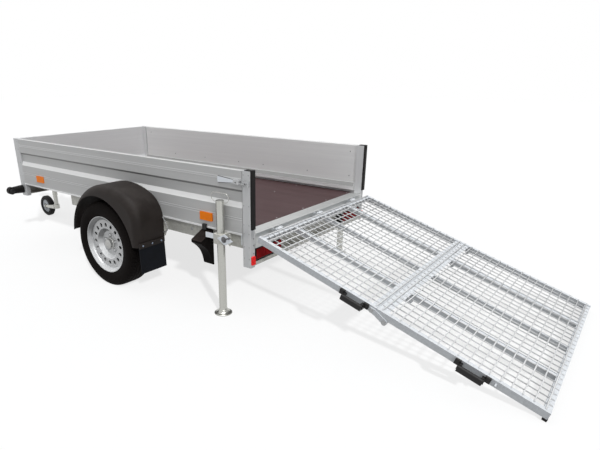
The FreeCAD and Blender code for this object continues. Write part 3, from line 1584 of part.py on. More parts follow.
def write_running_gear():
    """Write the wheels, the axle and the mudguards."""
    centre = V(0, track / 2, tyre_radius)
    write_sides("tyre", tyre(centre))
    write_sides("rim", rim(centre))
    write_sides("brake_drum", brake_drum(centre))
    write("swing_arms", pair(swing_arm()))
    write("axle_beam", axle_beam())
    write_sides("mudguard", mudguard())
    write("guard_brackets", guard_brackets())
    write("mud_flaps", pair(mud_flap()))


def write_front():
    """Write the drawbar, the coupling, the brake linkage and the jockey wheel."""
    write_sides("drawbar", drawbar_arm())
    write("overrun_device", overrun_device())
    write("bellows", bellows())
    write("coupling_head", coupling_head())
    write("brake_rod", brake_rod())
    write("handbrake_lever", handbrake_lever())
    write("jockey_tube", jockey_tube())
    write("jockey_clamp", jockey_clamp())
    write("jockey_leg", jockey_leg())
    write("jockey_fork", jockey_fork())
    write("jockey_wheel", jockey_wheel())


def write_rear():
    """Write the prop legs and the ramp with its hinges."""
    write_sides("prop_leg", prop_leg())
    write("prop_clamps", pair(prop_clamp()))
    write("hinge_brackets", hinge_brackets())
    inner_bars = [tilt(bar) for bar in ramp_bars(ramp_start, ramp_inner_length)]
    rails = [tilt(rail) for rail in pair(ramp_rail(ramp_start, ramp_inner_length))]
    write("ramp_inner_long_bars", rails + inner_bars)
    write("ramp_inner_end_bars", ramp_inner_end_bars())
    write("ramp_inner_long_wires", mesh_long_wires(ramp_start, ramp_inner_length))
    write("ramp_inner_cross_wires", mesh_cross_wires(ramp_start, ramp_inner_length))
    write("ramp_fold_arms", fold_arms())
    write("ramp_outer_long_bars", ramp_outer_long_bars())
    write("ramp_outer_end_bars", [tilt(ramp_end_bar_tube(ramp_outer_start)),
                                  tilt(ramp_end_bar_tube(ramp_end_s - ramp_end_bar))])
    write("ramp_outer_long_wires", mesh_long_wires(ramp_outer_start, ramp_end_s))
    write("ramp_outer_cross_wires", mesh_cross_wires(ramp_outer_start, ramp_end_s))
    write("ramp_end_caps", end_caps())
    write("ramp_inner_handle", grip_handle(ramp_inner_length - handle_inner_setback))
    write("ramp_outer_handle", grip_handle(ramp_end_s - handle_outer_setback))


os.makedirs("parts", exist_ok=True)
write_bed()
write_lamps()
write_running_gear()
write_front()
write_rear()
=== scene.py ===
"""Utility trailer with its mesh ramp let down: finishes, fine pieces, floor, light and camera."""

import logging
import math
from dataclasses import dataclass
from enum import Enum

import bmesh
import bpy
import numpy as np
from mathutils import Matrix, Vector


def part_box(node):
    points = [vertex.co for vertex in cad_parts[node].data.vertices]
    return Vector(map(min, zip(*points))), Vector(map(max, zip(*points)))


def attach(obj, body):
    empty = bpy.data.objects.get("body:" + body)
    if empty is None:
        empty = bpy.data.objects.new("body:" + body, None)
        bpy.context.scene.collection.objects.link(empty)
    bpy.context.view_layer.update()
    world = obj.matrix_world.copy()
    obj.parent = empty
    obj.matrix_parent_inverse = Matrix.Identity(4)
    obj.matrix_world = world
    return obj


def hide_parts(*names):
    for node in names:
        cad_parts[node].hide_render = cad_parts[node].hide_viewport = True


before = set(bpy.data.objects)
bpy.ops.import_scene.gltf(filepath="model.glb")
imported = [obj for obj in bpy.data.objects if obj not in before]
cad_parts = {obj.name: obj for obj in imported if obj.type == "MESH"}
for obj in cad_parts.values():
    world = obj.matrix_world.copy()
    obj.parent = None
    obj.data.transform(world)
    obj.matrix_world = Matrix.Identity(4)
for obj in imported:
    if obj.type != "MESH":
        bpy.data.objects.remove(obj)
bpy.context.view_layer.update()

log = logging.getLogger("trailer")
Colour = tuple[float, float, float]
Triple = tuple[float, float, float]
Pair = tuple[float, float]
Profile = tuple[Pair, ...]
Node = bpy.types.Node
Socket = bpy.types.NodeSocket
Tree = bpy.types.NodeTree
Piece = bpy.types.Object

SIDES = (("left", 1), ("right", -1))
RAMP_HALVES = (("ramp_inner", 0.014, 0.785), ("ramp_outer", 0.7865, 1.637))
ALONG_AXLE = (0.0, 1.0, 0.0)
WHITE = (1.0, 1.0, 1.0, 1.0)


class Pattern(Enum):
    """What a surface's fine variation looks like."""

    GRAIN = "cloudy grain"
    BRUSHED = "drawn lines"
    SPANGLE = "zinc crystals"
    FILM = "film with a pressed net"
    PRISM = "small prisms"
    MOULDED = "moulded skin"


class Bench:
    """Adds nodes to one node tree and joins them."""

    def __init__(self, tree: Tree) -> None:
        """Work on one tree.

        Args:
            tree: the material's or the group's node tree.
        """
        self.tree = tree

    def add(self, kind: str, settings: dict[str, object] | None = None, **inputs: object) -> Node:
        """Add one node, set its properties and fill or join its inputs.

        Args:
            kind: the node's type name.
            settings: properties to set on the node itself.
            inputs: values or output sockets by input name, with _ for a blank.

        Returns:
            The new node.
        """
        node = self.tree.nodes.new(kind)
        for key, value in (settings or {}).items():
            setattr(node, key, value)
        for key, value in inputs.items():
            self.feed(node, key.replace("_", " "), value)
        return node

    def feed(self, node: Node, name: str | int, value: object) -> None:
        """Join an output to an input, or set the input's own value.

        Args:
            node: the node that takes the value.
            name: the input's name or index.
            value: an output socket, a number or a tuple.
        """
        socket = node.inputs[name]
        if isinstance(value, Socket):
            self.tree.links.new(value, socket)
        else:
            socket.default_value = value

    def sum_up(self, operation: str, first: object, second: object = 0.0, clamp: bool = False) -> Socket:
        """Put two values through a Math node.

        Args:
            operation: the Math node's operation.
            first: the first value or socket.
            second: the second value or socket.
            clamp: whether the result stays between 0 and 1.

        Returns:
            The result's socket.
        """
        node = self.add("ShaderNodeMath", {"operation": operation, "use_clamp": clamp})
        self.feed(node, 0, first)
        self.feed(node, 1, second)
        return node.outputs[0]

    def weigh(self, first: object, share: float, second: object) -> Socket:
        """Add two values by weight: the first by its share, the second by the rest.

        Args:
            first: the first value's socket.
            share: the first value's share.
            second: the second value's socket.

        Returns:
            The sum's socket.
        """
        rest = self.sum_up("MULTIPLY", second, 1 - share)
        return self.sum_up("ADD", self.sum_up("MULTIPLY", first, share), rest)

    def span(self, value: object, low: float, high: float, to_low: float = 0.0,
             to_high: float = 1.0) -> Socket:
        """Map a value's range onto another range.

        Args:
            value: the value's socket.
            low: where the range starts.
            high: where the range ends.
            to_low: what the start becomes.
            to_high: what the end becomes.

        Returns:
            The mapped value's socket.
        """
        node = self.add("ShaderNodeMapRange", {"clamp": True}, Value=value)
        for name, number in (("From Min", low), ("From Max", high), ("To Min", to_low), ("To Max", to_high)):
            node.inputs[name].default_value = number
        return node.outputs[0]

    def blend(self, share: object, first: object, second: object) -> Socket:
        """Mix two colours.

        Args:
            share: how much of the second colour shows.
            first: the first colour or socket.
            second: the second colour or socket.

        Returns:
            The mixed colour's socket.
        """
        node = self.add("ShaderNodeMix", {"data_type": "RGBA"})
        self.feed(node, 0, share)
        for index, colour in ((6, first), (7, second)):
            self.feed(node, index, (*colour, 1.0) if isinstance(colour, tuple) else colour)
        return node.outputs[2]


class GroupBook:
    """The node groups that more than one finish uses, each built once."""

    def __init__(self) -> None:
        """Start with no group."""
        self.groups: dict[str, Tree] = {}

    def start(self, name: str, inputs: dict[str, float | str],
              outputs: tuple[str, ...]) -> tuple[Tree, Bench, Node, Node]:
        """Make an empty group with its sockets.

        Args:
            name: the group's name.
            inputs: each input's default number, or "vector" for a vector input.
            outputs: names of the outputs, which are all numbers.

        Returns:
            The group, a bench on it, and its input and output nodes.
        """
        tree = bpy.data.node_groups.new(name, "ShaderNodeTree")
        for key, value in inputs.items():
            kind = "NodeSocketVector" if value == "vector" else "NodeSocketFloat"
            socket = tree.interface.new_socket(name=key, in_out="INPUT", socket_type=kind)
            if value != "vector":
                socket.default_value = value
        for key in outputs:
            tree.interface.new_socket(name=key, in_out="OUTPUT", socket_type="NodeSocketFloat")
        bench = Bench(tree)
        return tree, bench, bench.add("NodeGroupInput"), bench.add("NodeGroupOutput")

    def pattern(self, kind: Pattern) -> Tree:
        """Give the group that draws one kind of fine variation.

        Args:
            kind: which variation.

        Returns:
            The group, with outputs Tone and Height between 0 and 1.
        """
        if kind.value in self.groups:
            return self.groups[kind.value]
        sockets = {"Vector": "vector", "Scale": 40.0}
        tree, bench, take, give = self.start(kind.value, sockets, ("Tone", "Height"))
        maker = {Pattern.GRAIN: self.grain, Pattern.BRUSHED: self.brushed, Pattern.SPANGLE: self.spangle,
                 Pattern.FILM: self.film, Pattern.PRISM: self.prism, Pattern.MOULDED: self.moulded}[kind]
        tone, height = maker(bench, take.outputs["Vector"], take.outputs["Scale"])
        bench.feed(give, "Tone", tone)
        bench.feed(give, "Height", height)
        self.groups[kind.value] = tree
        return tree

    @staticmethod
    def noise(bench: Bench, vector: object, scale: object, detail: float, rough: float) -> Socket:
        """Noise between 0 and 1.

        Args:
            bench: where the node goes.
            vector: the coordinates' socket.
            scale: the noise's scale, a number or a socket.
            detail: how many finer layers it has.
            rough: how strong the finer layers are.

        Returns:
            The noise value's socket.
        """
        node = bench.add("ShaderNodeTexNoise", Vector=vector, Scale=scale, Detail=detail, Roughness=rough)
        return node.outputs[0]

    def grain(self, bench: Bench, vector: object, scale: object) -> tuple[object, object]:
        """Soft clouds with a finer grain on top.

        Args:
            bench: where the nodes go.
            vector: the coordinates' socket.
            scale: the pattern's scale.

        Returns:
            Sockets of the tone and the height.
        """
        cloud_scale = bench.sum_up("MULTIPLY", scale, 0.12)
        clouds = self.noise(bench, vector, cloud_scale, detail=4.0, rough=0.6)
        fine = self.noise(bench, vector, scale, detail=6.0, rough=0.7)
        return bench.span(bench.weigh(clouds, 0.6, fine), low=0.3, high=0.7), fine

    def brushed(self, bench: Bench, vector: object, scale: object) -> tuple[object, object]:
        """Lines along the direction in which the coordinates are drawn out, over broad soft bands.

        Args:
            bench: where the nodes go.
            vector: the coordinates' socket.
            scale: the pattern's scale.

        Returns:
            Sockets of the tone and the height.
        """
        lines = self.noise(bench, vector, scale, detail=5.0, rough=0.65)
        band_scale = bench.sum_up("MULTIPLY", scale, 0.08)
        bands = self.noise(bench, vector, band_scale, detail=3.0, rough=0.5)
        return bench.span(bench.weigh(lines, 0.45, bands), low=0.32, high=0.68), lines

    def spangle(self, bench: Bench, vector: object, scale: object) -> tuple[object, object]:
        """Cells of zinc crystals, each with its own tone, and cloudy patches over them.

        Args:
            bench: where the nodes go.
            vector: the coordinates' socket.
            scale: the pattern's scale.

        Returns:
            Sockets of the tone and the height.
        """
        warp_scale = bench.sum_up("MULTIPLY", scale, 0.7)
        warp = bench.add("ShaderNodeTexNoise", Vector=vector, Scale=warp_scale, Detail=3.0)
        shift = bench.add("ShaderNodeVectorMath", {"operation": "SCALE"}, Vector=warp.outputs["Color"],
                          Scale=0.02)
        moved = bench.add("ShaderNodeVectorMath", {"operation": "ADD"})
        bench.feed(moved, 0, vector)
        bench.feed(moved, 1, shift.outputs[0])
        cells = bench.add("ShaderNodeTexVoronoi", Vector=moved.outputs[0], Scale=scale)
        parts = bench.add("ShaderNodeSeparateColor", Color=cells.outputs["Color"])
        cloud_scale = bench.sum_up("MULTIPLY", scale, 0.2)
        clouds = self.noise(bench, vector, cloud_scale, detail=5.0, rough=0.65)
        tone = bench.weigh(parts.outputs[0], 0.4, clouds)
        return bench.span(tone, low=0.2, high=0.8), cells.outputs["Distance"]

    def film(self, bench: Bench, vector: object, scale: object) -> tuple[object, object]:
        """Net of pressed lines both ways, with faint streaks of colour along the sheet.

        Args:
            bench: where the nodes go.
            vector: the coordinates' socket.
            scale: the net's scale.

        Returns:
            Sockets of the tone and the height.
        """
        first = bench.add("ShaderNodeTexWave", {"bands_direction": "X"}, Vector=vector, Scale=scale)
        second = bench.add("ShaderNodeTexWave", {"bands_direction": "Y"}, Vector=vector, Scale=scale)
        net = bench.sum_up("MULTIPLY", first.outputs[1], second.outputs[1])
        drawn = bench.add("ShaderNodeMapping", Vector=vector, Scale=(0.25, 3.0, 1.0))
        streaks = self.noise(bench, drawn.outputs[0], 3.0, detail=6.0, rough=0.6)
        return bench.span(bench.weigh(streaks, 0.85, net), low=0.3, high=0.75), net

    def prism(self, bench: Bench, vector: object, scale: object) -> tuple[object, object]:
        """Small even cells, each like a corner prism.

        Args:
            bench: where the nodes go.
            vector: the coordinates' socket.
            scale: the cells' scale.

        Returns:
            Sockets of the tone and the height.
        """
        cells = bench.add("ShaderNodeTexVoronoi", {"distance": "MANHATTAN"}, Vector=vector, Scale=scale,
                          Randomness=0.12)
        distance = cells.outputs["Distance"]
        return bench.span(distance, low=0.0, high=0.8), distance

    def moulded(self, bench: Bench, vector: object, scale: object) -> tuple[object, object]:
        """Fine leathery skin of a moulded piece, with slow changes in tone.

        Args:
            bench: where the nodes go.
            vector: the coordinates' socket.
            scale: the skin's scale.

        Returns:
            Sockets of the tone and the height.
        """
        skin = bench.add("ShaderNodeTexVoronoi", {"feature": "SMOOTH_F1"}, Vector=vector, Scale=scale)
        slow = self.noise(bench, vector, bench.sum_up("MULTIPLY", scale, 0.01), detail=5.0, rough=0.6)
        fine = self.noise(bench, vector, bench.sum_up("MULTIPLY", scale, 1.7), detail=3.0, rough=0.5)
        return bench.span(slow, low=0.3, high=0.7), bench.sum_up("ADD", skin.outputs[0], fine)

    def edge_wear(self) -> Tree:
        """Give the group that finds edges rubbed bright: where a rounded normal leaves the surface's own.

        Returns:
            The group, with inputs Radius, Amount and Scale, and the output Mask.
        """
        if "edge wear" in self.groups:
            return self.groups["edge wear"]
        sockets = {"Radius": 0.002, "Amount": 0.5, "Scale": 60.0}
        tree, bench, take, give = self.start("edge wear", sockets, ("Mask",))
        rounded = bench.add("ShaderNodeBevel", {"samples": 4}, Radius=take.outputs["Radius"])
        own = bench.add("ShaderNodeNewGeometry")
        dot = bench.add("ShaderNodeVectorMath", {"operation": "DOT_PRODUCT"})
        bench.feed(dot, 0, rounded.outputs[0])
        bench.feed(dot, 1, own.outputs["Normal"])
        edge = bench.span(dot.outputs["Value"], low=0.995, high=0.86)
        place = bench.add("ShaderNodeTexCoord")
        broken = self.noise(bench, place.outputs["Object"], take.outputs["Scale"], detail=5.0, rough=0.65)
        mask = bench.sum_up("MULTIPLY", edge, bench.span(broken, low=0.35, high=0.6))
        bench.feed(give, "Mask", bench.sum_up("MULTIPLY", mask, take.outputs["Amount"], clamp=True))
        self.groups["edge wear"] = tree
        return tree

    def dust(self) -> Tree:
        """Give the group that lays dust on faces that look up, in cloudy patches.

        Returns:
            The group, with inputs Amount and Scale, and the output Mask.
        """
        if "dust" in self.groups:
            return self.groups["dust"]
        tree, bench, take, give = self.start("dust", {"Amount": 0.3, "Scale": 9.0}, ("Mask",))
        own = bench.add("ShaderNodeNewGeometry")
        parts = bench.add("ShaderNodeSeparateXYZ", Vector=own.outputs["Normal"])
        place = bench.add("ShaderNodeTexCoord")
        clouds = self.noise(bench, place.outputs["Object"], take.outputs["Scale"], detail=7.0, rough=0.65)
        looks_up = bench.span(parts.outputs[2], low=-0.2, high=0.9)
        mask = bench.sum_up("MULTIPLY", looks_up, bench.span(clouds, low=0.4, high=0.75))
        bench.feed(give, "Mask", bench.sum_up("MULTIPLY", mask, take.outputs["Amount"], clamp=True))
        self.groups["dust"] = tree
        return tree


@dataclass(frozen=True)
class Finish:
    """One finish: its colours, gloss, fine pattern, worn edges and dust.

    The colour of faces that look across to the other side is scaled by inner, which paints light on those
    faces, and that of faces that lean down, lean up or lie flat by the three tilt factors, which paint shade
    on faces that lean down and light on faces that lean up or lie flat.
    """

    name: str
    low: Colour
    high: Colour
    roughness: float
    pattern: Pattern = Pattern.GRAIN
    scale: float = 120.0
    stretch: Triple = (1.0, 1.0, 1.0)
    metallic: float = 0.0
    roughness_spread: float = 0.12
    bump: float = 0.0002
    wear: Colour = (0.5, 0.5, 0.5)
    wear_amount: float = 0.35
    wear_radius: float = 0.0015
    dust: Colour = (0.35, 0.34, 0.32)
    dust_amount: float = 0.05
    coat: float = 0.0
    specular: float = 0.5
    # Painted light: factor on the colour of faces that look to the middle.
    inner: float = 1.0
    # Painted shade and painted light: factors on the colour of faces that lean down, lean up and lie flat.
    painted_tilt_light: Triple = (1.0, 1.0, 1.0)

    def build(self, book: GroupBook) -> bpy.types.Material:
        """Make the material.

        Args:
            book: the shared node groups.

        Returns:
            The material, made once for each finish.
        """
        if self.name in bpy.data.materials:
            return bpy.data.materials[self.name]
        material = bpy.data.materials.new(self.name)
        material.use_nodes = True
        tree = material.node_tree
        tree.nodes.clear()
        bench = Bench(tree)
        place = bench.add("ShaderNodeTexCoord")
        drawn = bench.add("ShaderNodeMapping", Vector=place.outputs["Object"], Scale=self.stretch)
        fine = bench.add("ShaderNodeGroup", {"node_tree": book.pattern(self.pattern)},
                         Vector=drawn.outputs[0], Scale=self.scale)
        worn = bench.add("ShaderNodeGroup", {"node_tree": book.edge_wear()},
                         Radius=self.wear_radius, Amount=self.wear_amount)
        dusty = bench.add("ShaderNodeGroup", {"node_tree": book.dust()}, Amount=self.dust_amount)
        tone = fine.outputs["Tone"]
        colour = bench.blend(tone, self.low, self.high)
        # Painted light: a lighter copy of the colour for faces that look to the middle.
        inner = self.toned(bench, colour, self.inner) if self.inner != 1.0 else None
        # Painted shade on faces that lean down and painted light on faces that lean up or lie flat.
        if self.painted_tilt_light != (1.0, 1.0, 1.0):
            colour = self.toned(bench, colour, self.painted_tilt_share(bench, place))
        if inner is not None:
            colour = bench.blend(self.faces_middle(bench, place), colour, inner)
        colour = bench.blend(worn.outputs["Mask"], colour, self.wear)
        colour = bench.blend(dusty.outputs["Mask"], colour, self.dust)
        half = self.roughness_spread / 2
        rough = bench.span(tone, 0.0, 1.0, self.roughness - half, self.roughness + half)
        rougher = bench.sum_up("MULTIPLY", dusty.outputs["Mask"], 0.3)
        rough = bench.sum_up("ADD", rough, rougher, clamp=True)
        raised = bench.add("ShaderNodeBump", Strength=0.5, Distance=self.bump, Height=fine.outputs["Height"])
        shader = bench.add("ShaderNodeBsdfPrincipled", Base_Color=colour, Roughness=rough,
                           Metallic=self.metallic, Normal=raised.outputs[0])
        shader.inputs["Coat Weight"].default_value = self.coat
        shader.inputs["Specular IOR Level"].default_value = self.specular
        output = bench.add("ShaderNodeOutputMaterial")
        bench.feed(output, "Surface", shader.outputs[0])
        return material

    @staticmethod
    def toned(bench: Bench, colour: Socket, amount: object) -> Socket:
        """Scale a colour.

        Args:
            bench: where the node goes.
            colour: the colour's socket.
            amount: a number or the socket that gives it.

        Returns:
            The scaled colour's socket.
        """
        node = bench.add("ShaderNodeVectorMath", {"operation": "SCALE"})
        bench.feed(node, 0, colour)
        bench.feed(node, "Scale", amount)
        return node.outputs[0]

    def painted_tilt_share(self, bench: Bench, place: Node) -> Socket:
        """Work out a face's factor of painted shade and light: 1 where upright, others where it leans down,
        leans up or lies flat.

        Args:
            bench: where the nodes go.
            place: the texture coordinate node.

        Returns:
            The factor's socket.
        """
        rise = bench.add("ShaderNodeSeparateXYZ", Vector=place.outputs["Normal"]).outputs[2]
        leans_down, leans_up, lies_flat = self.painted_tilt_light
        down = bench.span(rise, low=-0.05, high=-0.30, to_high=leans_down - 1.0)
        up = bench.span(rise, low=0.05, high=0.30, to_high=leans_up - 1.0)
        flat = bench.span(rise, low=0.55, high=0.90, to_high=lies_flat - leans_up)
        return bench.sum_up("ADD", bench.sum_up("ADD", down, up), bench.sum_up("ADD", flat, 1.0))

    @staticmethod
    def faces_middle(bench: Bench, place: Node) -> Socket:
        """Find faces that look across to the other side, which get painted light: there place across times
        normal is below zero.

        Args:
            bench: where the nodes go.
            place: the texture coordinate node.

        Returns:
            A socket that is 1 on those faces.
        """
        parts = bench.add("ShaderNodeSeparateXYZ", Vector=place.outputs["Object"])
        own = bench.add("ShaderNodeSeparateXYZ", Vector=place.outputs["Normal"])
        product = bench.sum_up("MULTIPLY", parts.outputs[1], own.outputs[1])
        return bench.span(product, low=-0.05, high=-0.15)


ALONG_X = (0.02, 1.0, 1.0)
ALONG_Y = (1.0, 0.02, 1.0)
ALONG_Z = (1.0, 1.0, 0.02)
BRIGHT = (0.80, 0.81, 0.83)


class Finishes:
    """Every finish of the trailer, named for what it covers."""

    # Painted light and shade: inner lightens the faces that look to the middle, and the tilt factors darken
    # faces that lean down and lighten those that lean up.
    side_board = Finish(
        "side board aluminium", low=(0.47, 0.47, 0.47), high=(0.53, 0.53, 0.525), roughness=0.42,
        pattern=Pattern.BRUSHED, scale=60.0, stretch=ALONG_X, metallic=0.12, wear=BRIGHT, wear_amount=0.2,
        inner=1.72, specular=0.3, painted_tilt_light=(0.50, 1.62, 1.0))
    # Painted light: the same aluminium as the side boards, made lighter like their inner faces.
    front_board_painted_light = Finish(
        "front board aluminium painted lighter", low=(0.68, 0.68, 0.685), high=(0.75, 0.75, 0.755), roughness=0.42,
        pattern=Pattern.BRUSHED, scale=60.0, stretch=ALONG_Y, metallic=0.12, specular=0.3, wear=BRIGHT,
        wear_amount=0.2)
    # Painted light: inner lightens the faces of the posts that look to the middle.
    post = Finish(
        "post aluminium", low=(0.50, 0.505, 0.51), high=(0.58, 0.585, 0.59), roughness=0.36,
        pattern=Pattern.BRUSHED, scale=90.0, stretch=ALONG_Z, metallic=0.25, wear=BRIGHT, specular=0.3,
        inner=1.45)
    sill = Finish(
        "sill aluminium", low=(0.50, 0.51, 0.51), high=(0.60, 0.61, 0.60), roughness=0.34,
        pattern=Pattern.BRUSHED, scale=90.0, stretch=ALONG_Y, metallic=0.7, wear=BRIGHT)
    floor_film = Finish(
        "brown floor film", low=(0.052, 0.029, 0.030), high=(0.100, 0.063, 0.066), roughness=0.6,
        pattern=Pattern.FILM, scale=60.0, wear=(0.2, 0.14, 0.12), dust_amount=0.02, specular=0.08)
    # Painted shade and light: the tilt factors darken faces that lean down and lighten those that lean up or
    # lie flat.
    frame_zinc = Finish(
        "galvanised frame", low=(0.46, 0.455, 0.42), high=(0.60, 0.595, 0.555), roughness=0.5,
        pattern=Pattern.SPANGLE, scale=110.0, metallic=0.2, wear=BRIGHT, wear_amount=0.2, specular=0.3,
        painted_tilt_light=(0.8, 1.3, 1.3))
    # Painted shade and light: the tilt factors darken faces that lean down and lighten those that lean up or
    # lie flat.
    ramp_zinc = Finish(
        "bright galvanised ramp", low=(0.44, 0.455, 0.475), high=(0.54, 0.56, 0.58), roughness=0.4,
        pattern=Pattern.SPANGLE, scale=140.0, metallic=0.15, wear=BRIGHT, wear_amount=0.2, specular=0.3,
        painted_tilt_light=(0.62, 1.30, 1.30))
    tread_plate = Finish(
        "tread plate", low=(0.60, 0.62, 0.645), high=(0.70, 0.72, 0.745), roughness=0.4,
        pattern=Pattern.SPANGLE, scale=140.0, metallic=0.1, wear=BRIGHT, wear_amount=0.2, specular=0.3)
    wire_zinc = Finish(
        "galvanised wire", low=(0.56, 0.565, 0.57), high=(0.66, 0.665, 0.67), roughness=0.45, scale=200.0,
        metallic=0.2, wear=BRIGHT, wear_amount=0.0, specular=0.3)
    plated_tube = Finish(
        "zinc plated tube", low=(0.42, 0.42, 0.39), high=(0.56, 0.56, 0.525), roughness=0.24,
        pattern=Pattern.BRUSHED, stretch=ALONG_Z, metallic=0.85, wear=BRIGHT)
    tyre = Finish(
        "tyre rubber", low=(0.0048, 0.0038, 0.0035), high=(0.0095, 0.0076, 0.0070), roughness=0.75,
        pattern=Pattern.MOULDED, scale=700.0, bump=0.00015, wear=(0.03, 0.028, 0.027), wear_amount=0.3,
        dust_amount=0.01, specular=0.05)
    soft_black = Finish(
        "black rubber", low=(0.006, 0.0055, 0.0055), high=(0.012, 0.011, 0.011), roughness=0.6,
        pattern=Pattern.MOULDED, scale=800.0, bump=0.0001, wear=(0.03, 0.03, 0.03), wear_amount=0.2,
        dust_amount=0.02, specular=0.15)
    # Painted light and shade: the tilt factors make faces that lean up or lie flat many times lighter and
    # darken those that lean down.
    chock = Finish(
        "chock plastic", low=(0.0035, 0.0026, 0.0024), high=(0.0075, 0.0058, 0.0052), roughness=0.7,
        pattern=Pattern.MOULDED, scale=800.0, bump=0.0001, wear=(0.02, 0.018, 0.017), wear_amount=0.25,
        dust_amount=0.01, specular=0.06, painted_tilt_light=(0.5, 8.0, 4.0))
    # Painted highlight: colour of the bright strips on the walls' lower edges and the ledges' front faces.
    line = Finish(
        "painted highlight strip", low=(0.80, 0.80, 0.80), high=(0.88, 0.88, 0.88), roughness=0.3,
        pattern=Pattern.BRUSHED, scale=60.0, stretch=ALONG_X, metallic=0.1, wear=BRIGHT, wear_amount=0.1)
    # Painted shade: colour of the dark strips on the ledges' upper slopes.
    painted_ledge_shade = Finish(
        "painted ledge shade", low=(0.32, 0.32, 0.315), high=(0.38, 0.38, 0.375), roughness=0.5,
        pattern=Pattern.BRUSHED, scale=60.0, stretch=ALONG_X, metallic=0.1, wear=BRIGHT, wear_amount=0.05,
        specular=0.2)
    bright_plate = Finish(
        "bright plated steel", low=(0.66, 0.69, 0.73), high=(0.72, 0.75, 0.79), roughness=0.34,
        metallic=0.3, wear=BRIGHT, wear_amount=0.1, bump=0.00005, dust_amount=0.0)
    # Painted highlight: colour of the bright strips over the walls' fine grooves.
    highlight_line = Finish(
        "painted highlight line", low=(0.60, 0.60, 0.60), high=(0.66, 0.66, 0.66), roughness=0.35,
        pattern=Pattern.BRUSHED, scale=60.0, stretch=ALONG_X, metallic=0.1, wear=BRIGHT, wear_amount=0.05,
        dust_amount=0.0)
    handle_black = Finish(
        "black grip", low=(0.006, 0.0055, 0.0055), high=(0.013, 0.012, 0.012), roughness=0.42,
        pattern=Pattern.MOULDED, scale=800.0, bump=0.0001, wear=(0.03, 0.03, 0.03), wear_amount=0.2,
        dust_amount=0.02, specular=0.3)
    # Painted shade and light: the tilt factors darken faces that lean down, such as the upper barrel, and
    # lighten those that lean up.
    rim = Finish(
        "silver wheel lacquer", low=(0.46, 0.465, 0.47), high=(0.54, 0.545, 0.55), roughness=0.34,
        scale=900.0, metallic=0.25, bump=0.00003, coat=0.1, specular=0.35, painted_tilt_light=(0.35, 1.5, 1.5))
    drum = Finish(
        "bright hub", low=(0.36, 0.36, 0.35), high=(0.50, 0.50, 0.49), roughness=0.34, scale=150.0,
        metallic=0.8)
    guard = Finish(
        "black mudguard", low=(0.0110, 0.0078, 0.0066), high=(0.0175, 0.0127, 0.0108), roughness=0.6,
        pattern=Pattern.MOULDED, scale=900.0, bump=0.00012, wear=(0.05, 0.045, 0.042), wear_amount=0.25,
        specular=0.22)
    flap = Finish(
        "mud flap rubber", low=(0.0032, 0.0040, 0.0055), high=(0.0065, 0.0080, 0.0125), roughness=0.4,
        pattern=Pattern.MOULDED, scale=500.0, bump=0.0001, wear=(0.03, 0.035, 0.045), wear_amount=0.2,
        dust_amount=0.01, specular=0.08)
    red_lens = Finish(
        "red lens", low=(0.10, 0.002, 0.003), high=(0.24, 0.004, 0.006), roughness=0.45,
        pattern=Pattern.PRISM, scale=160.0, bump=0.0004, specular=0.04, wear_amount=0.0, dust_amount=0.0)
    red_prism = Finish(
        "red reflector", low=(0.78, 0.008, 0.010), high=(1.0, 0.02, 0.02), roughness=0.3,
        pattern=Pattern.PRISM, scale=260.0, bump=0.0004, specular=0.12, wear_amount=0.0, dust_amount=0.0)
    orange_prism = Finish(
        "orange reflector", low=(0.86, 0.14, 0.003), high=(0.98, 0.26, 0.008), roughness=0.3,
        pattern=Pattern.PRISM, scale=260.0, bump=0.0004, specular=0.12, wear_amount=0.0, dust_amount=0.0)
    fastener = Finish(
        "plated fastener", low=(0.30, 0.305, 0.31), high=(0.42, 0.425, 0.43), roughness=0.34, scale=300.0,
        metallic=0.7, wear=BRIGHT)
    blue_plated = Finish(
        "blue plated bolt", low=(0.16, 0.20, 0.28), high=(0.26, 0.31, 0.40), roughness=0.3, scale=300.0,
        metallic=0.5)
    # Also the colour of the painted shadow behind each latch lever.
    rivet = Finish(
        "dull rivet and painted shadow", low=(0.10, 0.10, 0.105), high=(0.17, 0.17, 0.175), roughness=0.5, scale=300.0,
        metallic=0.4)
    grey_plastic = Finish(
        "light grey plastic", low=(0.50, 0.53, 0.56), high=(0.60, 0.63, 0.66), roughness=0.45,
        pattern=Pattern.MOULDED, scale=500.0, bump=0.00008)
    clear_lens = Finish(
        "clear lens", low=(0.60, 0.62, 0.66), high=(0.75, 0.77, 0.80), roughness=0.14,
        pattern=Pattern.PRISM, scale=180.0, coat=0.4, bump=0.0004)
    # Also the colour of the painted shade ring behind each rim's holes.
    lamp_black_and_shade = Finish(
        "black lamp housing and painted shade", low=(0.008, 0.008, 0.009), high=(0.016, 0.016, 0.017), roughness=0.4,
        pattern=Pattern.MOULDED, scale=700.0, bump=0.0001, specular=0.3)
    lacquer = Finish(
        "grey coupling lacquer", low=(0.20, 0.205, 0.21), high=(0.30, 0.305, 0.31), roughness=0.4,
        scale=160.0, metallic=0.5, wear=BRIGHT)


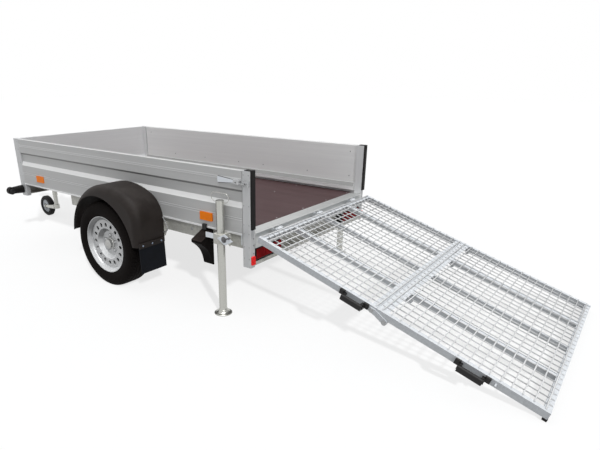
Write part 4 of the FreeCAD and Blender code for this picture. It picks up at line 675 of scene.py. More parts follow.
NODE_FINISHES: dict[Finish, tuple[str, ...]] = {
    Finishes.side_board: ("side_wall_left", "side_wall_right"),
    Finishes.front_board_painted_light: ("front_wall",),
    Finishes.post: ("front_posts", "rear_posts", "latches"),
    Finishes.sill: ("rear_sill",),
    Finishes.floor_film: ("floor_panel",),
    Finishes.frame_zinc: ("side_member_left", "side_member_right", "cross_members", "front_cross_member",
                          "lamp_carrier", "axle_beam", "swing_arms", "drawbar_left", "drawbar_right",
                          "guard_brackets", "prop_clamps", "jockey_clamp", "tie_downs", "brake_rod"),
    Finishes.ramp_zinc: ("ramp_inner_long_bars", "ramp_inner_end_bars", "ramp_outer_long_bars",
                         "ramp_outer_end_bars", "ramp_fold_arms", "hinge_brackets"),
    Finishes.wire_zinc: ("ramp_inner_long_wires", "ramp_inner_cross_wires", "ramp_outer_long_wires",
                         "ramp_outer_cross_wires"),
    Finishes.plated_tube: ("prop_leg_left", "prop_leg_right", "jockey_tube", "jockey_leg", "jockey_fork"),
    Finishes.tyre: ("tyre_left", "tyre_right"),
    Finishes.soft_black: ("post_seals", "bellows", "jockey_wheel", "ramp_end_caps", "position_lamps"),
    Finishes.flap: ("mud_flaps",),
    Finishes.rim: ("rim_left", "rim_right"),
    Finishes.drum: ("brake_drum_left", "brake_drum_right"),
    Finishes.guard: ("mudguard_left", "mudguard_right"),
    Finishes.handle_black: ("ramp_inner_handle", "ramp_outer_handle"),
    Finishes.chock: ("wheel_chocks",),
    Finishes.lamp_black_and_shade: ("tail_lamps",),
    Finishes.red_prism: ("rear_reflectors",),
    Finishes.orange_prism: ("side_reflectors",),
    Finishes.lacquer: ("overrun_device", "coupling_head", "handbrake_lever"),
}


def dress(piece: Piece, finish: Finish, book: GroupBook) -> None:
    """Give a piece its finish in place of any other.

    Args:
        piece: the piece.
        finish: what covers it.
        book: the shared node groups.
    """
    piece.data.materials.clear()
    piece.data.materials.append(finish.build(book))


def mesh_piece(name: str, points: np.ndarray, faces: np.ndarray | list[list[int]],
               smooth: bool = True) -> Piece:
    """Make a mesh object from whole arrays and put it in the scene.

    Args:
        name: the piece's name.
        points: vertex places, one row each.
        faces: vertex numbers of each face, as an array or as lists.
        smooth: whether the faces are shaded smooth.

    Returns:
        The new object, at the origin.
    """
    mesh = bpy.data.meshes.new(name)
    mesh.from_pydata(points.tolist(), [], faces.tolist() if isinstance(faces, np.ndarray) else faces)
    mesh.polygons.foreach_set("use_smooth", np.full(len(mesh.polygons), smooth))
    mesh.update()
    piece = bpy.data.objects.new(name, mesh)
    bpy.context.scene.collection.objects.link(piece)
    return piece


def grid_faces(rows: int, columns: int, round_rows: bool) -> np.ndarray:
    """Four-cornered faces of a grid of closed rows, its points numbered row by row.

    Args:
        rows: how many rows of points.
        columns: how many points in each row.
        round_rows: whether the last row joins the first.

    Returns:
        Point numbers, four to a face.
    """
    row = np.arange(rows if round_rows else rows - 1)[:, None]
    column = np.arange(columns)[None, :]
    next_row = (row + 1) % rows
    next_column = (column + 1) % columns
    corners = [row * columns + column, next_row * columns + column, next_row * columns + next_column,
               row * columns + next_column]
    return np.stack([np.broadcast_to(c, (row.size, column.size)) for c in corners], -1).reshape(-1, 4)


def curve(knots: np.ndarray, count: int) -> np.ndarray:
    """Smooth line through given points: between two knots, the cubic that also heeds their neighbours.

    Args:
        knots: the points the line runs through, one row each.
        count: how many points the line gets.

    Returns:
        The line's points.
    """
    padded = np.vstack([2 * knots[0] - knots[1], knots, 2 * knots[-1] - knots[-2]])
    at = np.linspace(0, len(knots) - 1, count)
    index = np.minimum(at.astype(int), len(knots) - 2)
    t = (at - index)[:, None]
    a, b, c, d = (padded[index + step] for step in range(4))
    square, cube = (2 * a - 5 * b + 4 * c - d) * t ** 2, (3 * b - a - 3 * c + d) * t ** 3
    return 0.5 * (2 * b + (c - a) * t + square + cube)


def centred_row(count: int, pitch: float) -> np.ndarray:
    """Even row about zero: each place is its number less half the last number, times the pitch.

    Args:
        count: how many places.
        pitch: the step between them.

    Returns:
        The places.
    """
    return (np.arange(count) - (count - 1) / 2) * pitch


def ellipse(centre: np.ndarray, wide: float, tall: float, angle: np.ndarray) -> np.ndarray:
    """Points of an ellipse that faces across: the cosine moves along X and the sine along Z.

    Args:
        centre: the ellipse's middle.
        wide: half its width.
        tall: half its height.
        angle: each point's angle.

    Returns:
        The points, one row each.
    """
    return np.asarray(centre) + np.stack([wide * np.cos(angle), 0 * angle, tall * np.sin(angle)], 1)


def mirrored(way: int, near: float, far: float) -> Pair:
    """Two places across, given for the left side, on either side.

    Args:
        way: +1 on the left, -1 on the right.
        near: the place nearer the middle.
        far: the place farther out.

    Returns:
        Both places, the lower first.
    """
    low, high = sorted((way * near, way * far))
    return low, high


def turned(name: str, starts: np.ndarray, ends: np.ndarray, profile: Profile, sides: int,
           smooth: bool = True) -> Piece:
    """Many turned pieces in one mesh: a point is its axis point plus radius times a unit circle across it.

    Args:
        name: the piece's name.
        starts: where each axis begins, one row each.
        ends: where each axis ends, one row each.
        profile: pairs of the share of the way along the axis and the radius there.
        sides: how many points go round; six makes bolt heads.
        smooth: whether the faces are shaded smooth.

    Returns:
        The new object.
    """
    starts, ends = np.atleast_2d(starts).astype(float), np.atleast_2d(ends).astype(float)
    along = ends - starts
    unit = along / np.linalg.norm(along, axis=1, keepdims=True)
    helper = np.where(np.abs(unit[:, 2:]) < 0.9, [[0.0, 0.0, 1.0]], [[1.0, 0.0, 0.0]])
    first = np.cross(helper, unit)
    first /= np.linalg.norm(first, axis=1, keepdims=True)
    second = np.cross(unit, first)
    angle = np.linspace(0, 2 * np.pi, sides, endpoint=False)
    ring = np.cos(angle)[None, :, None] * first[:, None] + np.sin(angle)[None, :, None] * second[:, None]
    share, radius = np.array(profile).T
    axis = starts[:, None] + along[:, None] * share[None, :, None]
    points = axis[:, :, None] + ring[:, None] * radius[None, :, None, None]
    rows = len(profile)
    side = grid_faces(rows, sides, False)[:, ::-1]
    start = np.arange(len(starts))[:, None, None] * rows * sides
    faces = (side[None] + start).reshape(-1, 4).tolist()
    low = np.arange(sides)[::-1]
    high = np.arange(sides) + (rows - 1) * sides
    for cap in (low, high):
        faces += (cap[None] + start[:, 0]).tolist()
    return mesh_piece(name, points.reshape(-1, 3), faces, smooth)


def piped(name: str, path: np.ndarray, normal: Triple, radius: float, sides: int = 8) -> Piece:
    """Round wire along a flat path: circles stand across the path, one arm along the plane's normal.

    Args:
        name: the piece's name.
        path: points of the wire's middle line, all in one plane.
        normal: the plane's normal.
        radius: the wire's radius.
        sides: how many points go round.

    Returns:
        The new object.
    """
    tangent = np.gradient(path, axis=0)
    tangent /= np.linalg.norm(tangent, axis=1, keepdims=True)
    up = np.broadcast_to(np.array(normal, dtype=float), path.shape)
    across = np.cross(tangent, up)
    angle = np.linspace(0, 2 * np.pi, sides, endpoint=False)
    ring = np.cos(angle)[None, :, None] * across[:, None] + np.sin(angle)[None, :, None] * up[:, None]
    points = (path[:, None] + radius * ring).reshape(-1, 3)
    faces = grid_faces(len(path), sides, False)[:, ::-1].tolist()
    faces.append(list(range(sides))[::-1])
    faces.append([(len(path) - 1) * sides + k for k in range(sides)])
    return mesh_piece(name, points, faces)


def round_edges(piece: Piece, width: float, segments: int = 3) -> None:
    """Round a piece's edges.

    Args:
        piece: the piece.
        width: how far the edges are rounded.
        segments: how many faces round each edge.
    """
    rounding = piece.modifiers.new("edges", "BEVEL")
    rounding.width = width
    rounding.segments = segments
    rounding.harden_normals = True


def block(name: str, low: Triple, high: Triple, edge: float) -> Piece:
    """Box between two corners with rounded edges.

    Args:
        name: the piece's name.
        low: its lowest corner.
        high: its highest corner.
        edge: how far the edges are rounded.

    Returns:
        The new object.
    """
    xs, ys, zs = zip(low, high)
    points = np.array([(x, y, z) for x in xs for y in ys for z in zs])
    faces = [[0, 1, 3, 2], [4, 6, 7, 5], [0, 4, 5, 1], [2, 3, 7, 6], [0, 2, 6, 4], [1, 5, 7, 3]]
    piece = mesh_piece(name, points, faces)
    round_edges(piece, edge)
    return piece


def side_block(name: str, way: int, low: Triple, high: Triple, edge: float) -> Piece:
    """Rounded box that is given for the left side, on either side.

    Args:
        name: the piece's name.
        way: +1 on the left, -1 on the right.
        low: its lowest corner on the left side.
        high: its highest corner on the left side.
        edge: how far the edges are rounded.

    Returns:
        The new object.
    """
    near, far = mirrored(way, low[1], high[1])
    return block(name, (low[0], near, low[2]), (high[0], far, high[2]), edge)


def extruded(name: str, outline: np.ndarray, axis: int, start: float, end: float, edge: float,
             segments: int = 3) -> Piece:
    """Flat outline carried along one axis: each of its points stands once at the start and once at the end.

    Args:
        name: the piece's name.
        outline: points on the other two axes, one row each.
        axis: 0, 1 or 2 for X, Y or Z.
        start: where the piece begins on that axis.
        end: where it ends.
        edge: how far the edges are rounded.
        segments: how many faces round each edge.

    Returns:
        The new object.
    """
    count = len(outline)
    points = np.zeros((2, count, 3))
    points[:, :, [k for k in range(3) if k != axis]] = outline[None]
    points[0, :, axis], points[1, :, axis] = start, end
    index = np.arange(count)
    after = (index + 1) % count
    faces = np.stack([index, after, after + count, index + count], 1).tolist()
    faces += [index[::-1].tolist(), (index + count).tolist()]
    piece = mesh_piece(name, points.reshape(-1, 3), faces)
    work = bmesh.new()
    work.from_mesh(piece.data)
    bmesh.ops.recalc_face_normals(work, faces=work.faces)
    work.to_mesh(piece.data)
    work.free()
    round_edges(piece, edge, segments)
    return piece


def middle_of(node: str) -> np.ndarray:
    """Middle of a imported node's box.

    Args:
        node: the node's name.

    Returns:
        Its middle in metres.
    """
    low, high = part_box(node)
    return (np.array(low) + np.array(high)) / 2


DOME = ((0.0, 1.0), (0.35, 0.93), (0.7, 0.7), (0.93, 0.36), (1.0, 0.02))
HEXAGON = ((0.0, 1.0), (0.85, 1.0), (1.0, 0.87))
DISC = ((0.0, 1.0), (0.8, 1.0), (1.0, 0.95))
HEXAGON_SIDES = 6


def scaled(profile: Profile, radius: float) -> Profile:
    """Profile of a turned piece with its widest radius set.

    Args:
        profile: pairs of share along and share of the radius.
        radius: the widest radius.

    Returns:
        Pairs of share along and radius.
    """
    return tuple((share, part * radius) for share, part in profile)


@dataclass(frozen=True)
class Head:
    """Head of a rivet, a screw or a bolt."""

    radius: float
    height: float
    hexagon: bool = False
    washer_height: float = 0.22
    washer_radius: float = 1.55
    sides: int = 12
    washer_sides: int = 20

    def profile(self) -> Profile:
        """Outline of the head: a dome, or a hexagon with its upper edge taken off.

        Returns:
            Pairs of share along and radius.
        """
        return scaled(HEXAGON if self.hexagon else DOME, self.radius)


class Kit:
    """Puts pieces on the trailer: gives each its finish and its body."""

    def __init__(self, book: GroupBook) -> None:
        """Keep the shared node groups.

        Args:
            book: the shared node groups.
        """
        self.book = book

    def fit(self, piece: Piece, finish: Finish, body: str, slot: str, *replaced: str) -> None:
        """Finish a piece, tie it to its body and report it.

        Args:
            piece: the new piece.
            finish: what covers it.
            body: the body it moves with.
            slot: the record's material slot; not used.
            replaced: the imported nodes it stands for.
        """
        dress(piece, finish, self.book)
        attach(piece, body)
        if replaced:
            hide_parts(*replaced)
        log.info("%s on %s, %s", piece.name, body, finish.name)

    def heads(self, name: str, places: list[Triple], way: Triple, head: Head, body: str = "root",
              finish: Finish = Finishes.fastener, slot: str = "galvanised_frame") -> None:
        """Rivet or bolt heads, all facing one way; bolt heads stand on a washer.

        Args:
            name: the piece's name.
            places: the middle of each head's foot.
            way: the direction the heads face.
            head: the head's kind and size.
            body: the body it moves with.
            finish: its finish, plated steel unless another is given.
            slot: the record's material slot.
        """
        starts = np.array(places, dtype=float)
        rise = np.array(way, dtype=float) * head.height
        sides = HEXAGON_SIDES if head.hexagon else head.sides
        piece = turned(name, starts, starts + rise, head.profile(), sides, not head.hexagon)
        self.fit(piece, finish, body, slot)
        if head.hexagon:
            profile = scaled(DISC, head.radius * head.washer_radius)
            washer = turned(f"{name}_washers", starts, starts + rise * head.washer_height, profile,
                            head.washer_sides)
            self.fit(washer, finish, body, slot)


@dataclass(frozen=True)
class Tyre:
    """Radial tyre: ribs round the crown, blocks on both shoulders and raised rings on the sidewalls."""

    knots: Profile = (
        (0.1785, 0.061), (0.184, 0.069), (0.204, 0.083), (0.236, 0.0915), (0.262, 0.0890), (0.279, 0.0815),
        (0.2885, 0.0725), (0.2935, 0.060), (0.2955, 0.030), (0.2955, 0.0))
    half_count: int = 62
    steps: int = 432
    crown_from: float = 0.280
    crown_fade: float = 0.004
    rib_grooves: Pair = (0.017, 0.044)
    groove_half: float = 0.0042
    groove_fade: float = 0.0012
    groove_depth: float = 0.0062
    blocks: int = 62
    block_gap: float = 0.2
    block_fade: float = 0.05
    block_depth: float = 0.0055
    block_slant: float = 0.25
    half_width: float = 0.09
    shoulder_from: float = 0.048
    shoulder_fade: float = 0.003
    sipe_gap: float = 0.09
    sipe_fade: float = 0.03
    sipe_depth: float = 0.00275
    ring_radii: tuple[float, ...] = (0.192, 0.197, 0.2585, 0.264, 0.2695)
    ring_height: float = 0.0009
    ring_half: float = 0.0014
    ring_fade: float = 0.0006
    sidewall_from: float = 0.06

    def section(self) -> np.ndarray:
        """Outline from the far bead over the crown to the near bead.

        Returns:
            Rows of radius and place across.
        """
        half = curve(np.array(self.knots), self.half_count)
        other = half[:-1] * (1, -1)
        return np.vstack([other, half[::-1]])

    def tread(self, radius: np.ndarray, across: np.ndarray, turn: np.ndarray) -> np.ndarray:
        """Depth cut into the crown: grooves between ribs, slots between shoulder blocks and fine sipes.

        A groove's share of its depth is its half width less the distance from its middle, over its fade,
        held between 0 and 1. Slots and sipes repeat with the turn and slant with the place across.

        Args:
            radius: each section point's radius.
            across: each section point's place across.
            turn: the angle of each step round, in turns.

        Returns:
            Depth for each step and section point.
        """
        crown = np.clip((radius - self.crown_from) / self.crown_fade, 0, 1)
        depth = np.zeros((len(turn), len(radius)))
        for place in self.rib_grooves:
            mask = np.clip((self.groove_half - np.abs(np.abs(across) - place)) / self.groove_fade, 0, 1)
            depth = np.maximum(depth, (mask * self.groove_depth)[None])
        slant = self.block_slant * across / self.half_width
        phase = (turn[:, None] * self.blocks + slant[None]) % 1.0
        slot = np.clip((self.block_gap / 2 - np.abs(phase - 0.5)) / self.block_fade, 0, 1)
        shoulder = np.clip((np.abs(across) - self.shoulder_from) / self.shoulder_fade, 0, 1)
        depth = np.maximum(depth, slot * shoulder[None] * self.block_depth)
        sipe = np.clip((self.sipe_gap / 2 - np.abs((phase * 2) % 1.0 - 0.5)) / self.sipe_fade, 0, 1)
        depth = np.maximum(depth, sipe * (1 - shoulder)[None] * self.sipe_depth)
        return depth * crown[None]

    def rings(self, radius: np.ndarray, across: np.ndarray) -> np.ndarray:
        """Height of the sidewall's raised rings.

        Args:
            radius: each section point's radius.
            across: each section point's place across.

        Returns:
            Height for each section point.
        """
        height = np.zeros(len(radius))
        for place in self.ring_radii:
            share = (self.ring_half - np.abs(radius - place)) / self.ring_fade
            height += self.ring_height * np.clip(share, 0, 1)
        return height * (np.abs(across) > self.sidewall_from)

    def build(self, name: str, centre: np.ndarray) -> Piece:
        """Turn the section round the axle, each point moved along the section's normal by the pattern.

        Args:
            name: the piece's name.
            centre: the wheel's middle.

        Returns:
            The new object.
        """
        section = self.section()
        tangent = np.gradient(section, axis=0)
        tangent /= np.linalg.norm(tangent, axis=1, keepdims=True)
        normal = np.stack([tangent[:, 1], -tangent[:, 0]], 1)
        turn = np.arange(self.steps) / self.steps
        radius, across = section.T
        move = self.rings(radius, across)[None] - self.tread(radius, across, turn)
        r = radius[None] + move * normal[None, :, 0]
        y = across[None] + move * normal[None, :, 1]
        angle = 2 * np.pi * turn[:, None]
        points = np.stack([centre[0] + r * np.cos(angle), centre[1] + y, centre[2] + r * np.sin(angle)], -1)
        faces = grid_faces(self.steps, len(section), True)
        return mesh_piece(name, points.reshape(-1, 3), faces)


@dataclass(frozen=True)
class RampPlane:
    """Where the lowered ramp lies: its top edge and its slope."""

    top_x: float = -1.04794
    top_z: float = 0.531
    slope: float = math.radians(17.030489)

    def point(self, s: float, y: float, drop: float) -> Triple:
        """Place of a point of the ramp.

        Args:
            s: way down the slope from the hinge.
            y: place across.
            drop: depth below the walking surface.

        Returns:
            The place in metres.
        """
        x = self.top_x - s * math.cos(self.slope) + drop * math.sin(self.slope)
        return x, y, self.top_z - s * math.sin(self.slope) - drop * math.cos(self.slope)


@dataclass(frozen=True)
class RampMesh:
    """Welded mesh of one ramp half: round wires across, lying on round wires down the slope."""

    body: str
    start: float
    end: float
    plane: RampPlane = RampPlane()
    pitch: float = 0.05
    wire: float = 0.0033
    sides: int = 10
    half_across: float = 0.6530
    long_count: int = 25
    long_inset: float = 0.004
    cross_inset: float = 0.009
    long_drop: float = 2.9
    weld_drops: Pair = (0.45, 0.95)
    weld_radius: float = 1.35
    weld_profile: Profile = ((0.0, 0.6), (0.3, 1.0), (0.7, 1.0), (1.0, 0.6))
    weld_sides: int = 6

    def build(self, kit: Kit) -> None:
        """Make both layers of wires and the weld spots at the crossings.

        Args:
            kit: fits the pieces.
        """
        count = int((self.end - self.start - 2 * self.cross_inset) / self.pitch) + 1
        ss = (self.start + self.end) / 2 + centred_row(count, self.pitch)
        ys = centred_row(self.long_count, self.pitch)
        low, high = self.start + self.long_inset, self.end - self.long_inset
        drop = self.long_drop * self.wire
        point = self.plane.point
        self.layer(kit, "long", [point(low, y, drop) for y in ys], [point(high, y, drop) for y in ys])
        self.layer(kit, "cross", [point(s, -self.half_across, self.wire) for s in ss],
                   [point(s, self.half_across, self.wire) for s in ss])
        above, below = (share * drop for share in self.weld_drops)
        welds = turned(f"{self.body}_mesh_welds", [point(s, y, above) for s in ss for y in ys],
                       [point(s, y, below) for s in ss for y in ys],
                       scaled(self.weld_profile, self.wire * self.weld_radius), self.weld_sides)
        kit.fit(welds, Finishes.wire_zinc, self.body, "galvanised_mesh")

    def layer(self, kit: Kit, name: str, starts: list[Triple], ends: list[Triple]) -> None:
        """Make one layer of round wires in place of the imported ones.

        Args:
            kit: fits the pieces.
            name: long or cross.
            starts: where each wire begins.
            ends: where each wire ends.
        """
        wires = turned(f"{self.body}_{name}_round_wires", starts, ends, ((0.0, self.wire), (1.0, self.wire)),
                       self.sides)
        kit.fit(wires, Finishes.wire_zinc, self.body, "galvanised_mesh", f"{self.body}_{name}_wires")


@dataclass(frozen=True)
class RampPlates:
    """Tread plates under the mesh at the fold and the foot, and strips that close the open long bars."""

    half_across: float = 0.648
    top: float = 0.0105
    thickness: float = 0.0022
    edge: float = 0.0006
    rows: tuple[tuple[str, float, float, str], ...] = (("fold_near", 0.748, 0.770, "ramp_inner"),
                                                       ("fold_far", 0.798, 0.842, "ramp_outer"),
                                                       ("foot", 1.604, 1.630, "ramp_outer"))
    tops: tuple[tuple[str, float, float, str], ...] = (("inner", 0.046, 0.752, "ramp_inner"),
                                                       ("outer", 0.820, 1.604, "ramp_outer"))
    top_drop: float = 0.0125
    top_place: float = 0.33325
    top_half: float = 0.0122
    lip_every: float = 0.0262
    lip_half: float = 0.0045
    lip_inset: float = 0.006
    lip_profile: Profile = ((0.0, 0.3), (0.1, 1.0), (0.9, 1.0), (1.0, 0.3))
    lip_sides: int = 8

    def build(self, kit: Kit) -> None:
        """Fit the closing strips, and each plate with its row of raised lips.

        Args:
            kit: fits the pieces.
        """
        plane = RampPlane()
        for name, start, end, body in self.tops:
            outline = self.section(plane, start, end, self.top_drop)
            for side, way in SIDES:
                middle = way * self.top_place
                strip = extruded(f"bar_top_{name}_{side}", outline, 1, middle - self.top_half,
                                 middle + self.top_half, self.edge)
                kit.fit(strip, Finishes.tread_plate, body, "galvanised_ramp")
        count = int(2 * self.half_across / self.lip_every) - 1
        ys = centred_row(count, self.lip_every)
        depth = self.top + self.thickness / 2
        for name, start, end, body in self.rows:
            outline = self.section(plane, start, end, self.top)
            plate = extruded(f"{name}_plate", outline, 1, -self.half_across, self.half_across, self.edge)
            kit.fit(plate, Finishes.tread_plate, body, "galvanised_ramp")
            lips = turned(f"{name}_lips", [plane.point(start + self.lip_inset, y, depth) for y in ys],
                          [plane.point(end - self.lip_inset, y, depth) for y in ys],
                          scaled(self.lip_profile, self.lip_half), self.lip_sides)
            kit.fit(lips, Finishes.ramp_zinc, body, "galvanised_ramp")

    def section(self, plane: RampPlane, start: float, end: float, drop: float) -> np.ndarray:
        """Section of a flat plate that lies along the slope.

        Args:
            plane: the ramp's slope.
            start: where the plate begins, down the slope.
            end: where it ends.
            drop: depth of its top below the walking surface.

        Returns:
            Rows of place along X and height.
        """
        low = drop + self.thickness
        corners = ((start, drop), (end, drop), (end, low), (start, low))
        return np.array([plane.point(s, 0.0, depth) for s, depth in corners])[:, [0, 2]]


@dataclass(frozen=True)
class WheelTrim:
    """Dark ring behind the rim's holes that paints the shade inside the wheel, wheel bolts, the dust cap's
    bead and the tyre valve.
    """

    face: float = 0.030
    shade_radius: float = 0.132
    shade_offset: float = 0.018
    shade_wire: float = 0.026
    shade_steps: int = 72
    shade_sides: int = 12
    bolts: int = 5
    bolt_phase: float = 0.25
    bolt_circle: float = 0.056
    bolt_radius: float = 0.0095
    bolt_height: float = 0.012
    bolt_profile: Profile = ((0.0, 1.45), (0.25, 1.35), (0.3, 1.0), (0.85, 0.95), (1.0, 0.6))
    bolt_sides: int = 12
    cap_ends: Pair = (-0.004, 0.010)
    cap_profile: Profile = ((0.0, 0.0335), (0.3, 0.0395), (0.8, 0.0385), (1.0, 0.0335))
    cap_sides: int = 40
    valve_radius: float = 0.168
    valve_angle: float = 0.6
    valve_ends: Pair = (0.020, 0.046)
    valve_profile: Profile = ((0.0, 0.006), (0.45, 0.005), (0.5, 0.0035), (0.95, 0.0035), (1.0, 0.003))
    valve_sides: int = 10

    def build(self, kit: Kit, side: str, way: int) -> None:
        """Fit one wheel's small pieces.

        Args:
            kit: fits the pieces.
            side: left or right.
            way: +1 where the wheel's outer face looks along +Y, else -1.
        """
        centre = middle_of(f"tyre_{side}")
        body = f"wheel_{side}"
        out = np.array((0.0, float(way), 0.0))
        # Painted shade: a dark ring behind the rim's holes where the wheel's inside lies in shade.
        shade = ellipse(centre + out * self.shade_offset, self.shade_radius, self.shade_radius,
                        np.linspace(0, 2 * np.pi, self.shade_steps))
        kit.fit(piped(f"{body}_backing", shade, ALONG_AXLE, self.shade_wire, self.shade_sides),
                Finishes.lamp_black_and_shade, body, "drum_iron")
        angles = 2 * np.pi * (np.arange(self.bolts) + self.bolt_phase) / self.bolts
        feet = ellipse(centre + out * self.face, self.bolt_circle, self.bolt_circle, angles)
        bolts = turned(f"{body}_bolts", feet, feet + out * self.bolt_height,
                       scaled(self.bolt_profile, self.bolt_radius), self.bolt_sides)
        kit.fit(bolts, Finishes.fastener, body, "drum_iron")
        start, end = (centre + out * (self.face + step) for step in self.cap_ends)
        bead = turned(f"{body}_cap_bead", start, end, self.cap_profile, self.cap_sides)
        kit.fit(bead, Finishes.drum, body, "drum_iron")
        foot = ellipse(centre, self.valve_radius, self.valve_radius, np.array([self.valve_angle]))
        start, end = (foot + out * step for step in self.valve_ends)
        valve = turned(f"{body}_valve", start, end, self.valve_profile, self.valve_sides)
        kit.fit(valve, Finishes.soft_black, body, "tyre_rubber")


@dataclass(frozen=True)
class JockeyTrim:
    """Grey hub discs of the jockey wheel, and the nuts of its axle."""

    hub_depth: float = 0.011
    hub_inset: float = 0.0125
    hub_profile: Profile = ((0.0, 0.071), (0.25, 0.071), (0.45, 0.065), (0.5, 0.034), (0.95, 0.030),
                            (1.0, 0.026))
    hub_sides: int = 36
    nut: Head = Head(0.012, 0.008, hexagon=True)
    nut_inset: float = 0.0105

    def build(self, kit: Kit) -> None:
        """Fit the discs and nuts.

        Args:
            kit: fits the pieces.
        """
        low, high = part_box("jockey_wheel")
        fork_low, fork_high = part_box("jockey_fork")
        x, _, z = middle_of("jockey_wheel")
        for side, way, face, end in (("left", 1, high[1], fork_high[1]), ("right", -1, low[1], fork_low[1])):
            out = np.array((0.0, float(way), 0.0))
            foot = np.array((x, face, z)) - out * self.hub_inset
            disc = turned(f"jockey_hub_{side}", foot, foot + out * self.hub_depth, self.hub_profile,
                          self.hub_sides)
            kit.fit(disc, Finishes.grey_plastic, "jockey_wheel", "black_rubber")
            nut = np.array((x, end, z)) - out * self.nut_inset
            kit.heads(f"jockey_nut_{side}", [nut], tuple(out), self.nut, "jockey_fork", slot="zinc_tube")


@dataclass(frozen=True)
class LampTrim:
    """Lenses of the tail lamps in their sections, and the lit faces of the position lamps."""

    lamp_width: float = 0.264
    margin: float = 0.010
    proud: float = 0.0025
    sunk: float = 0.004
    edge: float = 0.002
    sections: tuple[Pair, ...] = ((0.0, 0.36), (0.37, 0.66), (0.67, 1.0))
    position_inset: float = 0.027
    position_radius: float = 0.021
    position_depths: Pair = (-0.004, -0.0002)
    position_profile: Profile = ((0.0, 1.0), (0.6, 0.95), (1.0, 0.6))
    position_sides: int = 28

    def build(self, kit: Kit) -> None:
        """Fit all lenses; a tail lamp's sections are counted from the left lamp's inner end.

        Args:
            kit: fits the pieces.
        """
        low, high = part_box("tail_lamps")
        bottom, top = low[2] + self.margin, high[2] - self.margin
        reach = self.lamp_width - 2 * self.margin
        for (side, way), inner in zip(SIDES, (high[1] - self.lamp_width, low[1] + self.lamp_width)):
            for index, (begin, end) in enumerate(self.sections):
                edges = sorted(inner + way * (self.margin + reach * share) for share in (begin, end))
                lens = block(f"tail_lens_{side}_{index}", (low[0] - self.proud, edges[0], bottom),
                             (low[0] + self.sunk, edges[1], top), self.edge)
                kit.fit(lens, Finishes.red_lens, "root", "lamp_red")
        self.position_faces(kit)

    def position_faces(self, kit: Kit) -> None:
        """White lens ahead on each position lamp, and a dull lens behind.

        Args:
            kit: fits the pieces.
        """
        low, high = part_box("position_lamps")
        height = (low[2] + high[2]) / 2
        profile = scaled(self.position_profile, self.position_radius)
        for side, y in (("left", high[1] - self.position_inset), ("right", low[1] + self.position_inset)):
            for name, x, way, finish in (("white", high[0], 1, Finishes.clear_lens),
                                         ("rear", low[0], -1, Finishes.lamp_black_and_shade)):
                start, end = (np.array((x + way * depth, y, height)) for depth in self.position_depths)
                lens = turned(f"position_{name}_{side}", start, end, profile, self.position_sides)
                kit.fit(lens, finish, "root", "lamp_red")


